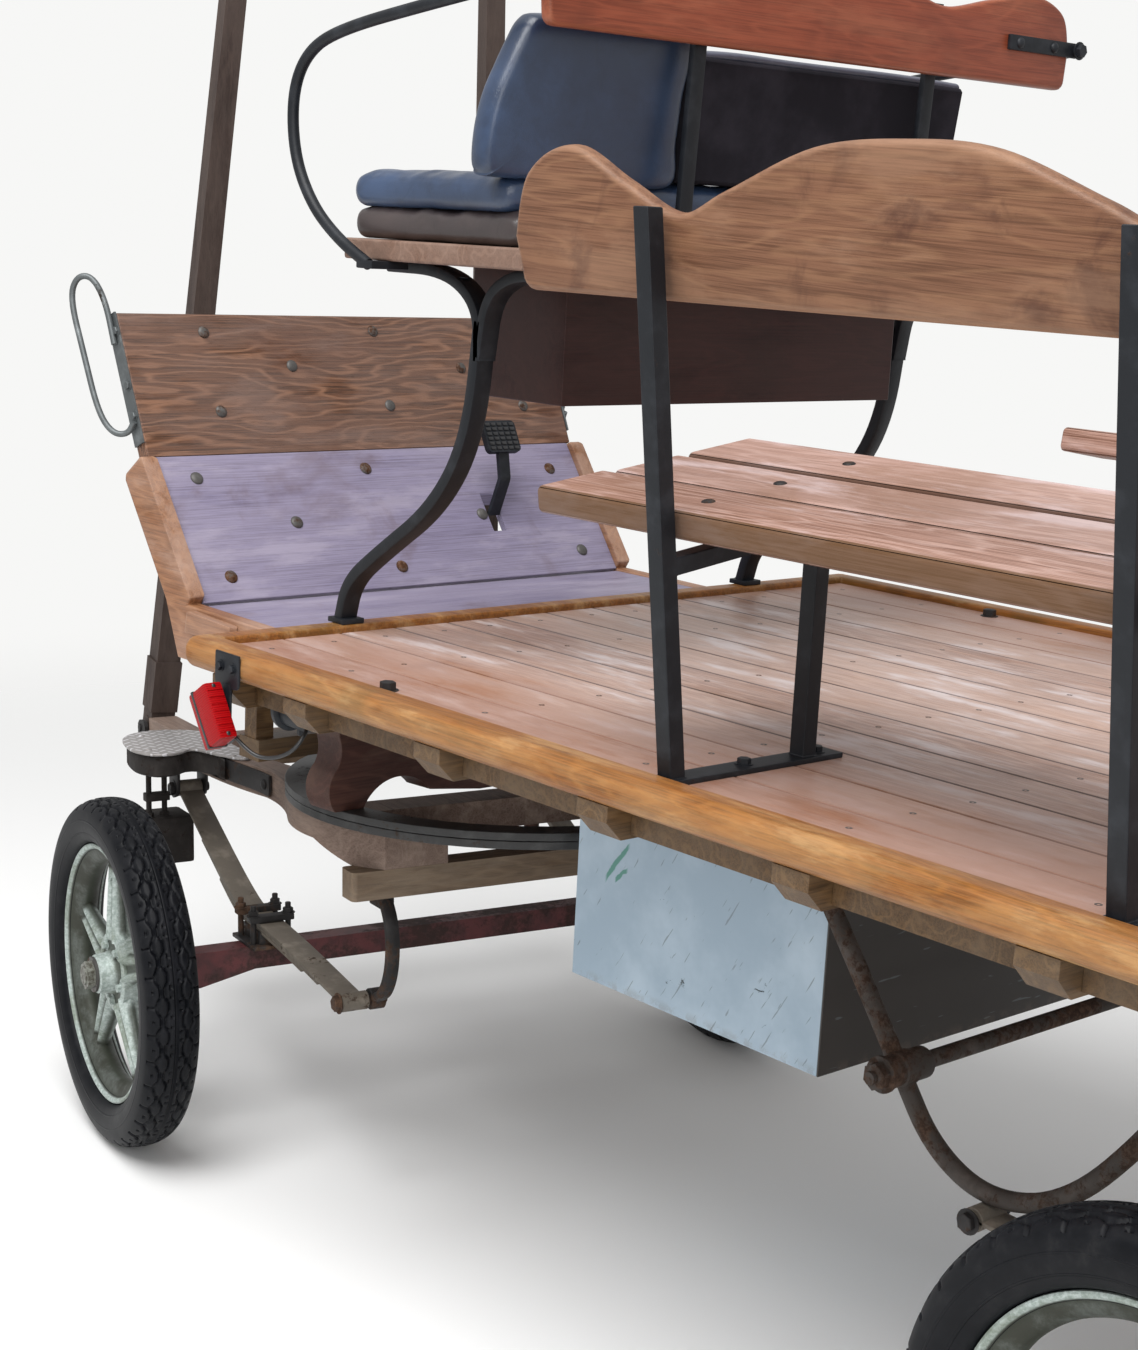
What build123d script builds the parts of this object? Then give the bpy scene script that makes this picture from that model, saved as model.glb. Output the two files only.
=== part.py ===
# Open passenger wagon for horses: plank deck, raised driver's seat, two side benches,
# a turning fore-carriage with a double ring and a pair of hinged shafts, and four
# rubber-tyred cast wheels. Millimetres, Z up, front towards -Y. The origin is on the
# ground in the middle of the vehicle's extents.

import math
import os

from build123d import *

os.makedirs("parts", exist_ok=True)

# Whole vehicle, measured from the ground point under the kingpin
middle_x = -15.75  # middle of the extents
middle_y = 656.384
body_lean = 2.6  # the body sits tail down by this many degrees
steer_rest = 12.2  # the fore-carriage is parked turned to the right
deck_height = 1030  # top of the planks at the front edge
deck_front = 45  # the deck's front edge lies this far behind the kingpin
ground_place = Pos(-middle_x, -middle_y, 0)
body_place = ground_place * Location((0, deck_front, deck_height), (-body_lean, 0, 0))
fore_place = ground_place * Location((0, 0, 0), (0, 0, -steer_rest))
seat_gap = 0.1  # between pieces that rest on one another
crest_chords = 14  # in half of a scalloped board's upper edge

# Deck, in the body's own frame: y from the front edge, z from the planks' top
deck_length = 2340
deck_half = 765
rail_wide = 50
rail_proud = 12
rail_low = 36
rail_bevel = 11
corner_cut = 14
plank_count = 13
plank_gap = 3
plank_thick = 26
joist_wide = 58
joist_deep = 58
joist_end_cut = 26
joist_y = [105, 300, 620, 960, 1300, 1645, 1985, 2250]
floor_bearer_y = [-300, -40]
sill_x = 392
sill_wide = 62
sill_deep = 60
floor_low = -38

# Wheels
tyre_radius = 325
tyre_sides = 36
rim_radius = 241
rim_wide = 66
bead_radius = 228
hub_radius = 36
hub_long = 96
flange_radius = 74
spoke_count = 5
stub_radius = 17
stub_fit = 0.05
nut_radius = 27
nut_long = 18
axle_wide = 50
axle_top = 346
axle_low = 302
front_track_half = 668
front_axle_y = -366
rear_track_half = 668
rear_axle_y = 1813
spring_x = 382
spring_wide = 50

# Shafts, hinged at the front beam and stood up
shaft_x = 385
shaft_hinge = (-980, 658)
shaft_lean = 8.3  # backwards
shaft_close = 3.9  # towards the middle
shaft_foot_side = 52
shaft_tip_side = 38
shaft_long = 2150
hinge_pin_radius = 8
pin_fit = 0.06

# Fore-carriage
ring_outer = 450
ring_inner = 400
ring_thick = 14
ring_sides = 60
ring_top = 698
ring_gap = 0.6
kingpin_radius = 14
futchel_low = 630
futchel_top = ring_top - ring_thick - seat_gap
rear_beam_top = 598


def block(x0, x1, y0, y1, z0, z1):
    size = (x1 - x0, y1 - y0, z1 - z0)
    middle = ((x0 + x1) / 2, (y0 + y1) / 2, (z0 + z1) / 2)
    return Pos(*middle) * Box(*size)


def round_rod(start, end, radius):
    """A true cylinder between two points, for pins and stubs that turn in a hole."""
    a, b = Vector(*start), Vector(*end)
    way = b - a
    return Plane(origin=a, z_dir=way) * Cylinder(
        radius, way.length, align=(Align.CENTER, Align.CENTER, Align.MIN)
    )


def rod(start, end, radius, sides=10):
    """A bar of several sides between two points."""
    a, b = Vector(*start), Vector(*end)
    way = b - a
    return Plane(origin=a, z_dir=way) * extrude(RegularPolygon(radius, sides), amount=way.length)


def hex_nut(x, y, z, radius, length):
    """A six-sided nut whose axis runs along X from the point given."""
    return Plane(origin=(x, y, z), z_dir=(1, 0, 0)) * extrude(RegularPolygon(radius, 6), amount=length)


def bend_path(points, bend, steps):
    """A polyline whose corners are rounded to the bend radius in a few chords."""
    rounded = FilletPolyline(*points, radius=bend)
    corners = [rounded @ 0]
    for edge in rounded.edges():
        shares = range(1, steps + 1) if edge.geom_type == GeomType.CIRCLE else [steps]
        corners += [edge @ (share / steps) for share in shares]
    return corners


def bent_rod(points, radius, bend, steps=3):
    """A bar of eight sides along a polyline with rounded corners."""
    corners = bend_path(points, bend, steps)
    start = Plane(origin=corners[0], z_dir=corners[1] - corners[0])
    profile = start * RegularPolygon(radius, 8)
    return sweep(profile, path=Polyline(*corners), transition=Transition.RIGHT)


def bent_flat(points, wide, thick, bend, steps=3):
    """A flat bar, wide along X, along a polyline that lies in a plane of constant x."""
    corners = bend_path(points, bend, steps)
    start = Plane(origin=corners[0], x_dir=(1, 0, 0), z_dir=corners[1] - corners[0])
    profile = start * Rectangle(wide, thick)
    return sweep(profile, path=Polyline(*corners), transition=Transition.RIGHT)


def side_plate(points, x0, x1):
    """An outline in the YZ plane, drawn as (y, z), between two x values."""
    face = make_face(Polyline(*[(0, y, z) for y, z in points], close=True))
    solid = extrude(face, amount=x1 - x0, dir=(1, 0, 0))
    return Pos(x0, 0, 0) * solid


def scalloped_board(half, low, crest, thick, corner):
    """A back board from its middle: crest runs along its upper edge from the end to the middle."""
    curve = Spline(*crest, tangents=[(0, 1), (1, 0)])
    chords = [curve @ (k / crest_chords) for k in range(crest_chords + 1)]
    foot = [(0, low), (-half + corner, low), (-half, low + corner)]
    outline = make_face(Polyline(*foot, *chords, close=True))
    return extrude(outline + mirror(outline, about=Plane.YZ), amount=thick / 2, both=True)


def mirrored(part):
    return mirror(part, about=Plane.YZ)


def both_sides(*parts):
    return Compound(list(parts) + [mirrored(part) for part in parts])


def save(name, part, place):
    export_step(place * part, f"parts/{name}.step")


# Deck planks, their upper long edges broken
plank_field = 2 * (deck_half - rail_wide)
plank_pitch = plank_field / plank_count
planks = []
for i in range(plank_count):
    x0 = -deck_half + rail_wide + i * plank_pitch + plank_gap / 2
    x1 = x0 + plank_pitch - plank_gap
    plank = block(x0, x1, rail_wide, deck_length - rail_wide, -plank_thick, 0)
    long_edges = plank.edges().filter_by(Axis.Y).sort_by(Axis.Z)[2:]
    planks.append(chamfer(long_edges, 1.5))
save("deck_planks", Compound(planks), body_place)

# Rail round the deck, proud of the planks, with a moulded outer side
outer = Rectangle(2 * deck_half, deck_length)
outer = chamfer(outer.vertices(), corner_cut)
rail = Pos(0, deck_length / 2, -rail_low) * extrude(outer, amount=rail_low + rail_proud)
rims = [e for e in rail.edges() if abs(e.center().Z + rail_low) < 0.1 or abs(e.center().Z - rail_proud) < 0.1]
rail = chamfer(rims, rail_bevel)
rail = rail - block(-plank_field / 2, plank_field / 2, rail_wide, deck_length - rail_wide, -100, 100)
save("deck_rail", rail, body_place)

# Joists across the body, boards between their ends, and two long sills
joist_top = -plank_thick
sill_top = joist_top - joist_deep
sill_low = sill_top - sill_deep
joist_half = deck_half - 12
timbers = []
for y in joist_y:
    joist = block(-joist_half, joist_half, y - joist_wide / 2, y + joist_wide / 2, sill_top, joist_top)
    ends = joist.edges().filter_by(Axis.Y).sort_by(Axis.Z)[:2]
    joist = chamfer(ends, joist_end_cut)
    under_rail = block(deck_half - rail_wide - 1, deck_half, y - joist_wide, y + joist_wide,
                       -rail_low - seat_gap, 0)
    timbers.append(joist - under_rail - mirrored(under_rail))
side_board_x = 690
for front, back in zip(joist_y, joist_y[1:]):
    board = block(side_board_x, side_board_x + 22, front + joist_wide / 2 + 0.2, back - joist_wide / 2 - 0.2,
                  sill_top + 6, joist_top - seat_gap)
    timbers += [board, mirrored(board)]
for y in floor_bearer_y:
    timbers.append(block(-470, 470, y - joist_wide / 2, y + joist_wide / 2, sill_top, floor_low - seat_gap))
sill = block(sill_x - sill_wide / 2, sill_x + sill_wide / 2, -350, deck_length - 30, sill_low, sill_top)
front_post = block(sill_x - 25, sill_x + 12, -368, -330, -270, sill_low + 1)
front_cross = block(-sill_x - 14, sill_x + 14, -382, -318, -308, -268)
sills = sill + mirrored(sill) + front_post + mirrored(front_post) + front_cross
save("underframe", Compound(timbers + [sills]), body_place)

# Dashboard and toe-board
board_half = 505
dash_low = (-545, 222)
dash_high = (-662, 473)
dash_thick = 30
dash_angle = math.atan2(dash_high[1] - dash_low[1], dash_high[0] - dash_low[0])
dash_front = (-math.sin(dash_angle) * dash_thick, math.cos(dash_angle) * dash_thick)
dash_outline = [dash_low, dash_high, (dash_high[0] + dash_front[0], dash_high[1] + dash_front[1]),
                (dash_low[0] + dash_front[0], dash_low[1] + dash_front[1])]
dash = side_plate(dash_outline, -board_half, board_half)
dash = chamfer(dash.edges().filter_by(Axis.X).sort_by(Axis.Z)[2:], 5)
save("dashboard", dash, body_place)

toe_low = (-368, -18)
toe_thick = 15
toe_half = 494
toe_run = Vector(toe_low[0] - dash_low[0], toe_low[1] - dash_low[1], 0)
toe_length = toe_run.length
toe_unit = toe_run.normalized()


def toe_point(a, b):
    """A point a along the toe-board from the dashboard's foot and b below its face."""
    return (dash_low[0] + toe_unit.X * a + toe_unit.Y * b, dash_low[1] + toe_unit.Y * a - toe_unit.X * b)


toe = side_plate([toe_point(1, 0), toe_point(toe_length, 0), toe_point(toe_length, toe_thick),
                  toe_point(1, toe_thick)], -toe_half, toe_half)
pedal_x = -230
toe = toe - block(pedal_x - 16, pedal_x + 16, -480, -430, 40, 150)
floor = block(-toe_half, toe_half, -366, -0.5, floor_low, floor_low + toe_thick)
save("toe_board", Compound([toe, floor]), body_place)

# Wooden cheeks outside the toe-board, which carry it and the dashboard
cheek_in = toe_half + 0.3
cheek_out = 526
cheek = side_plate(
    [(-0.6, floor_low + toe_thick), (-372, floor_low + toe_thick + 4), toe_point(toe_length - 8, -12),
     toe_point(2, -12), toe_point(2, 62), toe_point(toe_length - 40, 62), (-400, sill_top - 34),
     (-0.6, sill_top - 34)],
    cheek_in, cheek_out,
)
light_piece = side_plate([(-352, -62), (-206, -62), (-206, -30), (-345, -24)], cheek_out + seat_gap, cheek_out + 18)
cheek = chamfer(cheek.edges().filter_by(Axis.X).sort_by(Axis.Z)[-2:], 6)
save("cheeks", both_sides(cheek, light_piece), body_place)

# Iron straps and wire grab handles at the ends of the dashboard
strap_x = board_half + seat_gap
strap = side_plate([dash_outline[0], dash_outline[1], dash_outline[2], dash_outline[3]], strap_x, strap_x + 4)
strap = strap - block(strap_x - 1, strap_x + 6, -700, -500, 200, 246)
handle_x = strap_x + 9.5
handle = bent_rod(
    [(handle_x, -655, 425), (handle_x, -682, 490), (handle_x + 22, -712, 532), (handle_x + 42, -735, 496),
     (handle_x + 40, -640, 300), (handle_x + 30, -618, 262), (handle_x, -585, 268)],
    6, 14,
)
save("grab_handles", both_sides(strap + handle), body_place)

# Brake pedal
pedal_arm = bent_flat([(pedal_x, -455, 95), (pedal_x, -425, 170), (pedal_x, -438, 240)], 26, 9, 20)
pedal_pad = extrude(RectangleRounded(82, 66, 10), amount=6, both=True)
pedal_pad = Pos(pedal_x, -444, 250) * Rot(118, 0, 0) * pedal_pad
save("brake_pedal", pedal_arm + pedal_pad, body_place)

# Forked iron brackets under the driver's seat
bracket_x = 467
seat_under = 600
stem = bent_flat(
    [(bracket_x, 22, rail_proud + 4), (bracket_x, 40, 82), (bracket_x, 120, 140), (bracket_x, 262, 232),
     (bracket_x, 340, 350), (bracket_x, 357, 530)],
    34, 22, 44,
)
arm_front = bent_flat(
    [(bracket_x, 357, 470), (bracket_x, 350, 545), (bracket_x, 270, 590), (bracket_x, 130, 591)],
    34, 18, 42,
)
arm_rear = bent_flat(
    [(bracket_x, 357, 480), (bracket_x, 372, 552), (bracket_x, 430, 591), (bracket_x, 500, 591)],
    34, 18, 32,
)
foot = block(bracket_x - 22, bracket_x + 22, 4, 46, rail_proud + seat_gap, rail_proud + 9)
save("seat_brackets", both_sides(stem + arm_front + arm_rear + foot), body_place)

# Driver's seat: board, box, cushions
seat_half = 560
seat_front = 112
seat_rear = 556
seat_thick = 31
seat_board = block(-seat_half, seat_half, seat_front, seat_rear, seat_under + seat_gap, seat_under + seat_thick)
seat_board = chamfer(seat_board.edges().filter_by(Axis.Z), 12)
save("seat_board", seat_board, body_place)

seat_box_half = 372
seat_box_wall = 18
seat_box = block(-seat_box_half, seat_box_half, 206, 428, 400, seat_under)
seat_box = seat_box - block(-seat_box_half + seat_box_wall, seat_box_half - seat_box_wall, 206 + seat_box_wall,
                            428 - seat_box_wall, 400 + seat_box_wall, seat_under + 1)
save("seat_box", seat_box, body_place)

cushion_low = seat_under + seat_thick + 0.4
lower_cushion = block(-seat_half + 8, seat_half - 8, 118, 528, cushion_low, cushion_low + 46)
save("seat_cushion_lower", chamfer(lower_cushion.edges(), 10), body_place)
upper_low = cushion_low + 46.5
upper_cushion = block(-seat_half + 4, seat_half - 4, 116, 506, upper_low, upper_low + 50)
save("seat_cushion_upper", chamfer(upper_cushion.edges(), 12), body_place)

# Backrest: a padded piece behind the driver and a flat one beside it
pad_outline = make_face(Polyline((236, 735), (575, 735), (590, 752), (596, 790), (588, 835), (572, 870),
                                 (556, 905), (532, 925), (500, 932), (236, 932), close=True))
pad = Plane(origin=(0, 0, 0), x_dir=(1, 0, 0), z_dir=(0, -1, 0)) * extrude(pad_outline, amount=27, both=True)
pad = chamfer([e for e in pad.edges() if abs(abs(e.center().Y) - 27) < 0.01], 9)
pad = Pos(0, 483, 735) * Rot(-7, 0, 0) * Pos(0, 0, -735) * pad
save("backrest_left", pad, body_place)
back_right = side_plate([(455, 735), (500, 735), (524, 915), (484, 920)], -385, 228)
save("backrest_right", chamfer(back_right.edges().filter_by(Axis.X), 5), body_place)

# Iron posts, arm rods and end straps that carry the upper back board
post_x = 255
board_low = 925
board_y = 567
board_thick = 22
post = side_plate([(536, seat_under + seat_thick + seat_gap), (548, seat_under + seat_thick + seat_gap),
                   (566.8, 1035), (555, 1035)], post_x - 13, post_x + 13)
post_foot = block(post_x - 13, post_x + 13, 530, 556, seat_under + seat_thick + seat_gap, seat_under + seat_thick + 8)
rod_x = 580
arm_rod = bent_rod(
    [(rod_x, 215, 593), (rod_x, 135, 630), (rod_x, 60, 680), (rod_x, -2, 750), (rod_x, -10, 830),
     (rod_x, 30, 900), (rod_x, 120, 930), (rod_x, 340, 958), (rod_x, 600, 990)],
    9, 30,
)
rod_foot = block(520, rod_x + 6, 195, 235, 588, seat_under)
end_strap = block(405, rod_x + 4, board_y + board_thick + seat_gap, board_y + board_thick + 7, 978, 1002)
strap_bolt = rod((430, board_y + board_thick + 5, 990), (430, board_y + board_thick + 14, 990), 9)
save("seat_irons", both_sides(post + post_foot, arm_rod + rod_foot + end_strap + strap_bolt), body_place)

upper_board = scalloped_board(
    566, board_low, [(-570, 985), (-548, 1045), (-470, 1068), (-370, 1052), (-250, 1030), (-150, 1052), (0, 1078)],
    board_thick, 16,
)
save("upper_board", Pos(0, board_y + board_thick / 2, 0) * Rot(90, 0, 0) * upper_board, body_place)

# Side benches
bench_y = [1043, 1705]
bench_bar = 25
bench_foot = 7
bench_rise = 8.3
bench_middle = 1390
frames = []
for y in bench_y:
    foot = block(405, 713, y - 20, y + 20, seat_gap, bench_foot)
    outer_leg = make_face(Polyline((686, y, bench_foot - 1), (686 + bench_bar, y, bench_foot - 1),
                                   (804, y, 690), (804 - bench_bar, y, 690), close=True))
    outer_leg = extrude(outer_leg, amount=bench_bar / 2, dir=(0, 1, 0), both=True)
    inner_leg = block(450, 450 + bench_bar, y - bench_bar / 2, y + bench_bar / 2, bench_foot - 1, 300)
    bearer = Pos(555, y, 297) * Rot(0, bench_rise, 0) * Box(350, bench_bar, 22)
    frames.append(foot + outer_leg + inner_leg + bearer)
save("bench_irons", both_sides(*frames), body_place)
slats = []
# x of the middle, width, y of the front end, thickness
for x, wide, front, thick in ((662, 116, 790, 36), (538, 118, 800, 34), (412, 120, 808, 38)):
    top = 329 + (660 - x) * math.tan(math.radians(bench_rise)) + 17
    length = 2 * (bench_middle - front)
    slat = Rot(0, bench_rise, 0) * Box(wide, length, thick)
    slat = chamfer(slat.edges().filter_by(Axis.Y), 4)
    slats.append(Pos(x, bench_middle, top - 17) * slat)
save("bench_seats", both_sides(*slats), body_place)
board = scalloped_board(
    612, 584, [(-622, 650), (-591, 729), (-510, 760), (-418, 720), (-331, 685), (-253, 712), (-122, 759), (0, 768)],
    26, 22,
)
board = Pos(0, 0, -676) * Rot(90, 0, 0) * board
board = Pos(751, bench_middle, 676) * Rot(0, 7.3, 0) * Rot(0, 0, 90) * board
save("bench_boards", both_sides(board), body_place)

# Tool box of sheet steel under the deck
tool_half = 340
tool_front = 482
tool_rear = 1006
tool_low = -482
tool_wall = 3
tool_box = block(-tool_half, tool_half, tool_front, tool_rear, tool_low, sill_top - 0.2)
inside = block(-tool_half + tool_wall, tool_half - tool_wall, tool_front + tool_wall, tool_rear - tool_wall,
               tool_low + tool_wall, sill_top - 1 - tool_wall)
doorway = block(-tool_half - 10, -tool_half + 10, tool_front + 48, tool_rear - 64, tool_low + 20, -192)
door_x = -tool_half - 12
door_z = -172
door_pin = 3.5
door_front = 522
door_rear = 950
lug_thick = 6
tool_box = tool_box - inside - doorway
for y in (door_front - 1 - lug_thick, door_rear + 1):
    tool_box = tool_box + block(door_x - 8, -tool_half + 1, y, y + lug_thick, door_z - 7, door_z + 7)
tool_box = tool_box + round_rod((door_x, door_front - 6, door_z), (door_x, door_rear + 6, door_z), door_pin)
save("tool_box", tool_box, body_place)

# Flap of the tool box on the right side, hung from the pin
flap = block(door_x - 1.5, door_x + 1.5, door_front, door_rear, tool_low + 12, door_z)
flap_rim = block(door_x - 1.5, -tool_half - 5.2, door_front, door_rear, tool_low + 12, door_z - 12)
flap_rim = flap_rim - block(door_x, 0, door_front + 2, door_rear - 2, tool_low + 14, door_z)
flap = flap + flap_rim + rod((door_x, door_front, door_z), (door_x, door_rear, door_z), 7)
flap = flap - round_rod((door_x, door_front - 20, door_z), (door_x, door_rear + 20, door_z), door_pin + pin_fit)
save("tool_box_door", flap, body_place)

# Lamps at the front corners of the deck and round lamps under it
lamp_x = 791
lamp_box = chamfer(Box(40, 58, 102).edges(), 4)
lamp_tilt = Pos(lamp_x, 133, -92) * Rot(34, 0, 0)
round_lamp = rod((676, 112, -86), (676, 138, -86), 34, 16) + rod((676, 136, -86), (676, 205, -86), 26, 16)
round_lamp = round_lamp + rod((676, 178, -122), (676, 178, -90), 11)
save("lamps", both_sides(lamp_tilt * lamp_box), body_place)
lamp_plate = block(deck_half + seat_gap, deck_half + 4, 106, 176, -44, 8)
lamp_back = lamp_tilt * Pos(0, 37.1, 0) * Box(34, 16, 84)
lamp_arm = block(deck_half + seat_gap, lamp_x + 6, 160, 176, -70, -44)
round_lamp = rod((655, 140, -90), (655, 152, -90), 34, 16) + rod((655, 152, -90), (655, 218, -90), 26, 16)
round_lamp = round_lamp + rod((655, 190, -128), (655, 190, -90), 11)
round_lamp = round_lamp + block(651, 659, 156, 204, -70, joist_top - seat_gap)
lamp_irons = lamp_plate + lamp_back + lamp_arm
save("lamp_irons", both_sides(lamp_irons, round_lamp), body_place)

# Rear bows with their cross bar, which carry the front ends of the rear springs
bow_radius = 13
rear_eye = (1360, 423)  # of the rear springs, from the kingpin
bow = bent_rod(
    [(spring_x, 990, sill_low - 0.2), (spring_x, 1102, -287), (spring_x, 1184, -400),
     (spring_x, 1250, -486), (spring_x, 1345, -520), (spring_x, 1455, -484), (spring_x, 1560, -370),
     (spring_x, 1700, sill_low - 0.2)],
    bow_radius, 55,
)
bow = bow - block(300, 460, 900, 1800, sill_low - seat_gap, sill_low + 40)
for y in (990, 1700):
    bow = bow + block(spring_x - 20, spring_x + 20, y - 35, y + 35, sill_low - 7, sill_low - seat_gap)
bar_y = 1187
bar_z = -398
collar = rod((spring_x - 44, bar_y, bar_z), (spring_x + 38, bar_y, bar_z), 22)
bar_end = rod((spring_x + 38, bar_y, bar_z), (spring_x + 43, bar_y, bar_z), 25)
bar_nut = hex_nut(spring_x + 43, bar_y, bar_z, 19, 16)
bow = bow + collar + bar_end + bar_nut
cross_bar = rod((-spring_x, bar_y, bar_z), (spring_x, bar_y, bar_z), 12)
save("rear_bows", bow + mirrored(bow) + cross_bar, body_place)

# Turntable: the upper ring and the bolster are level and belong to the body
bolster_low = ring_top + ring_gap + ring_thick
ring_face = RegularPolygon(ring_outer, ring_sides) - RegularPolygon(ring_inner, ring_sides)
upper_ring = extrude(ring_face, amount=ring_thick)
save("upper_ring", Pos(0, 0, ring_top + ring_gap) * upper_ring, ground_place)
bolster_top = 910
bolster_half = make_face(
    Polyline((0, bolster_low), (150, bolster_low), (262, bolster_low + 14))
    + ThreePointArc((262, bolster_low + 14), (342, bolster_low + 44), (404, bolster_low))
    + Line((404, bolster_low), (464, bolster_low))
    + ThreePointArc((464, bolster_low), (476, bolster_low + 34), (458, bolster_low + 74))
    + ThreePointArc((458, bolster_low + 74), (450, bolster_low + 100), (455, bolster_low + 128))
    + Polyline((455, bolster_low + 128), (462, bolster_top), (0, bolster_top), (0, bolster_low))
)
bolster = Rot(90, 0, 0) * extrude(bolster_half, amount=35, both=True)
bolster = bolster + mirrored(bolster)
bolster = bolster - Location((0, deck_front, deck_height), (-body_lean, 0, 0)) * block(
    -600, 600, -300, 300, sill_low - seat_gap, 100
)
kingpin = round_rod((0, 0, 596), (0, 0, 730), kingpin_radius) + rod((0, 0, 588), (0, 0, 602), 26)
save("bolster", bolster + kingpin, ground_place)

# Lower ring and the curved futchels with the transom between them
lower_ring = extrude(ring_face, amount=ring_thick)
save("lower_ring", Pos(0, 0, ring_top - ring_thick) * lower_ring, fore_place)

futchel_plan = make_face(
    Polyline((355, -640), (355, -948), (415, -948), (415, -640))
    + ThreePointArc((415, -640), (402, -480), (378, -360))
    + ThreePointArc((378, -360), (380, -290), (404, -190))
    + ThreePointArc((404, -190), (423, -60), (346, 116))
    + Line((346, 116), (226, 116))
    + ThreePointArc((226, 116), (340, 30), (343, -190))
    + ThreePointArc((343, -190), (316, -290), (318, -360))
    + ThreePointArc((318, -360), (342, -480), (355, -640))
)
futchel = Pos(0, 0, rear_beam_top) * extrude(futchel_plan, amount=futchel_top - rear_beam_top)
side_view = side_plate(
    [(-960, futchel_low), (-30, futchel_low), (60, rear_beam_top + seat_gap), (130, rear_beam_top + seat_gap),
     (130, 650), (60, futchel_top), (-960, futchel_top)],
    0, 600,
)
futchel = futchel & side_view
transom = block(-366, 366, -40, 40, futchel_low, futchel_top)
transom = transom - Cylinder(kingpin_radius + pin_fit, 3000)
front_transom = block(-358, 358, -745, -700, futchel_top - 40, futchel_top)
save("futchels", futchel + mirrored(futchel) + transom + front_transom, fore_place)

# Timber cross beams under the futchels
front_beam = block(-425, 425, -950, -892, 572, futchel_low - seat_gap)
front_beam = fillet(front_beam.edges().filter_by(Axis.Y), 8)
rear_beam = block(-406, 406, 62, 116, 547, rear_beam_top)
rear_beam = fillet(rear_beam.edges().filter_by(Axis.Z), 10)
save("cross_beams", Compound([front_beam, rear_beam]), fore_place)

# Ears and pins that hold the shafts
fork_half = 31
ear_thick = 8
shaft_irons = []
for x in (shaft_x, -shaft_x):
    iron = round_rod((x - 42, *shaft_hinge), (x + 42, *shaft_hinge), hinge_pin_radius)
    for edge in (-1, 1):
        ear_x = x + edge * (fork_half + ear_thick / 2)
        ear = block(ear_x - ear_thick / 2, ear_x + ear_thick / 2, shaft_hinge[0] - 16, -950.1, 576, shaft_hinge[1] + 16)
        top = ear.edges().filter_by(Axis.X).sort_by(Axis.Z)[-2:]
        iron = iron + chamfer(top, 9)
    iron = iron + block(x - fork_half - ear_thick, x + fork_half + ear_thick, -958, -950.1, 576, 626)
    shaft_irons.append(iron)
save("shaft_irons", Compound(shaft_irons), fore_place)


def axle(y, track_half):
    """A box axle, deeper at its ends, with round stubs and their nuts."""
    beam = make_face(Polyline((0, axle_low), (410, axle_low), (520, axle_low - 24), (562, axle_low - 24),
                              (562, axle_top), (0, axle_top), close=True))
    beam = Pos(0, y, 0) * Rot(90, 0, 0) * extrude(beam, amount=axle_wide / 2, both=True)
    end = track_half + hub_long / 2
    stub = round_rod((555, y, tyre_radius), (end + 22, y, tyre_radius), stub_radius)
    nut = hex_nut(end + 1, y, tyre_radius, nut_radius, nut_long)
    half = beam + stub + nut
    return half + mirrored(half)


save("front_axle", axle(front_axle_y, front_track_half), fore_place)
save("rear_axle", axle(rear_axle_y, rear_track_half), ground_place)

# Leaf springs: the main leaf's points from its front eye to its rear eye
leaf_thick = 8
leaf_drop = 7.4
clamp_top = axle_top + 52
front_leaf = [(-795, 562), (-455, clamp_top - 2), (-366, clamp_top - 4), (-200, clamp_top - 16), (62, 352)]
rear_leaf = [rear_eye, (1730, clamp_top - 5), (rear_axle_y, clamp_top - 4), (1900, clamp_top - 5), (2266, 423)]


def between(a, b, share):
    return (a[0] + (b[0] - a[0]) * share, a[1] + (b[1] - a[1]) * share)


def leaf_pack(leaf, axle_y):
    """Main leaf with eyes, two shorter leaves, saddle on the axle, clamps and bolts."""
    pack = bent_flat([(spring_x, *p) for p in leaf], spring_wide, leaf_thick, 60)
    for number, share in ((1, 0.42), (2, 0.72)):
        short = [between(leaf[0], leaf[1], share), leaf[1], leaf[2], leaf[3], between(leaf[4], leaf[3], share)]
        short = [(spring_x, y, z - number * leaf_drop) for y, z in short]
        pack = pack + bent_flat(short, spring_wide - 2, leaf_thick, 60)
    for y, z in (leaf[0], leaf[-1]):
        pack = pack + rod((spring_x - spring_wide / 2, y, z), (spring_x + spring_wide / 2, y, z), 17)
    pack = pack + block(spring_x - 27, spring_x + 27, axle_y - 45, axle_y + 45, axle_top + 7, clamp_top - 20)
    pack = pack + block(spring_x - 44, spring_x + 44, axle_y - 58, axle_y + 58, axle_top + seat_gap, axle_top + 8)
    for y in (axle_y - 34, axle_y + 34):
        pack = pack + block(spring_x - 44, spring_x + 44, y - 12, y + 12, clamp_top - 2, clamp_top + 11)
        for x in (spring_x - 35, spring_x + 35):
            pack = pack + block(x - 6, x + 6, y - 6, y + 6, axle_top + 4, clamp_top + 1)
    return pack


hanger_x = 340
hanger_wide = 26
front_spring = leaf_pack(front_leaf, front_axle_y)
c_hanger = bent_flat(
    [(hanger_x, 62, 575), (hanger_x, 112, 528), (hanger_x, 132, 488), (hanger_x, 130, 428),
     (hanger_x, 102, 374), (hanger_x, 62, 352)], hanger_wide, 18, 24)
c_hanger = c_hanger + block(hanger_x - 14, hanger_x + 14, 66, 112, 536, 560)
c_hanger = c_hanger - block(300, 400, 0, 200, 546.9, 700)
rear_pin = rod((hanger_x - 20, 62, 352), (spring_x + 30, 62, 352), 11) + rod((hanger_x - 14, 62, 352), (352, 62, 352), 19)
front_bracket = block(spring_x - 33, spring_x - 27, -822, -768, 544, futchel_low - seat_gap)
front_bracket = front_bracket + Pos(60, 0, 0) * front_bracket
front_bracket = front_bracket + block(spring_x - 33, spring_x + 33, -822, -768, 620, futchel_low - seat_gap)
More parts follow.
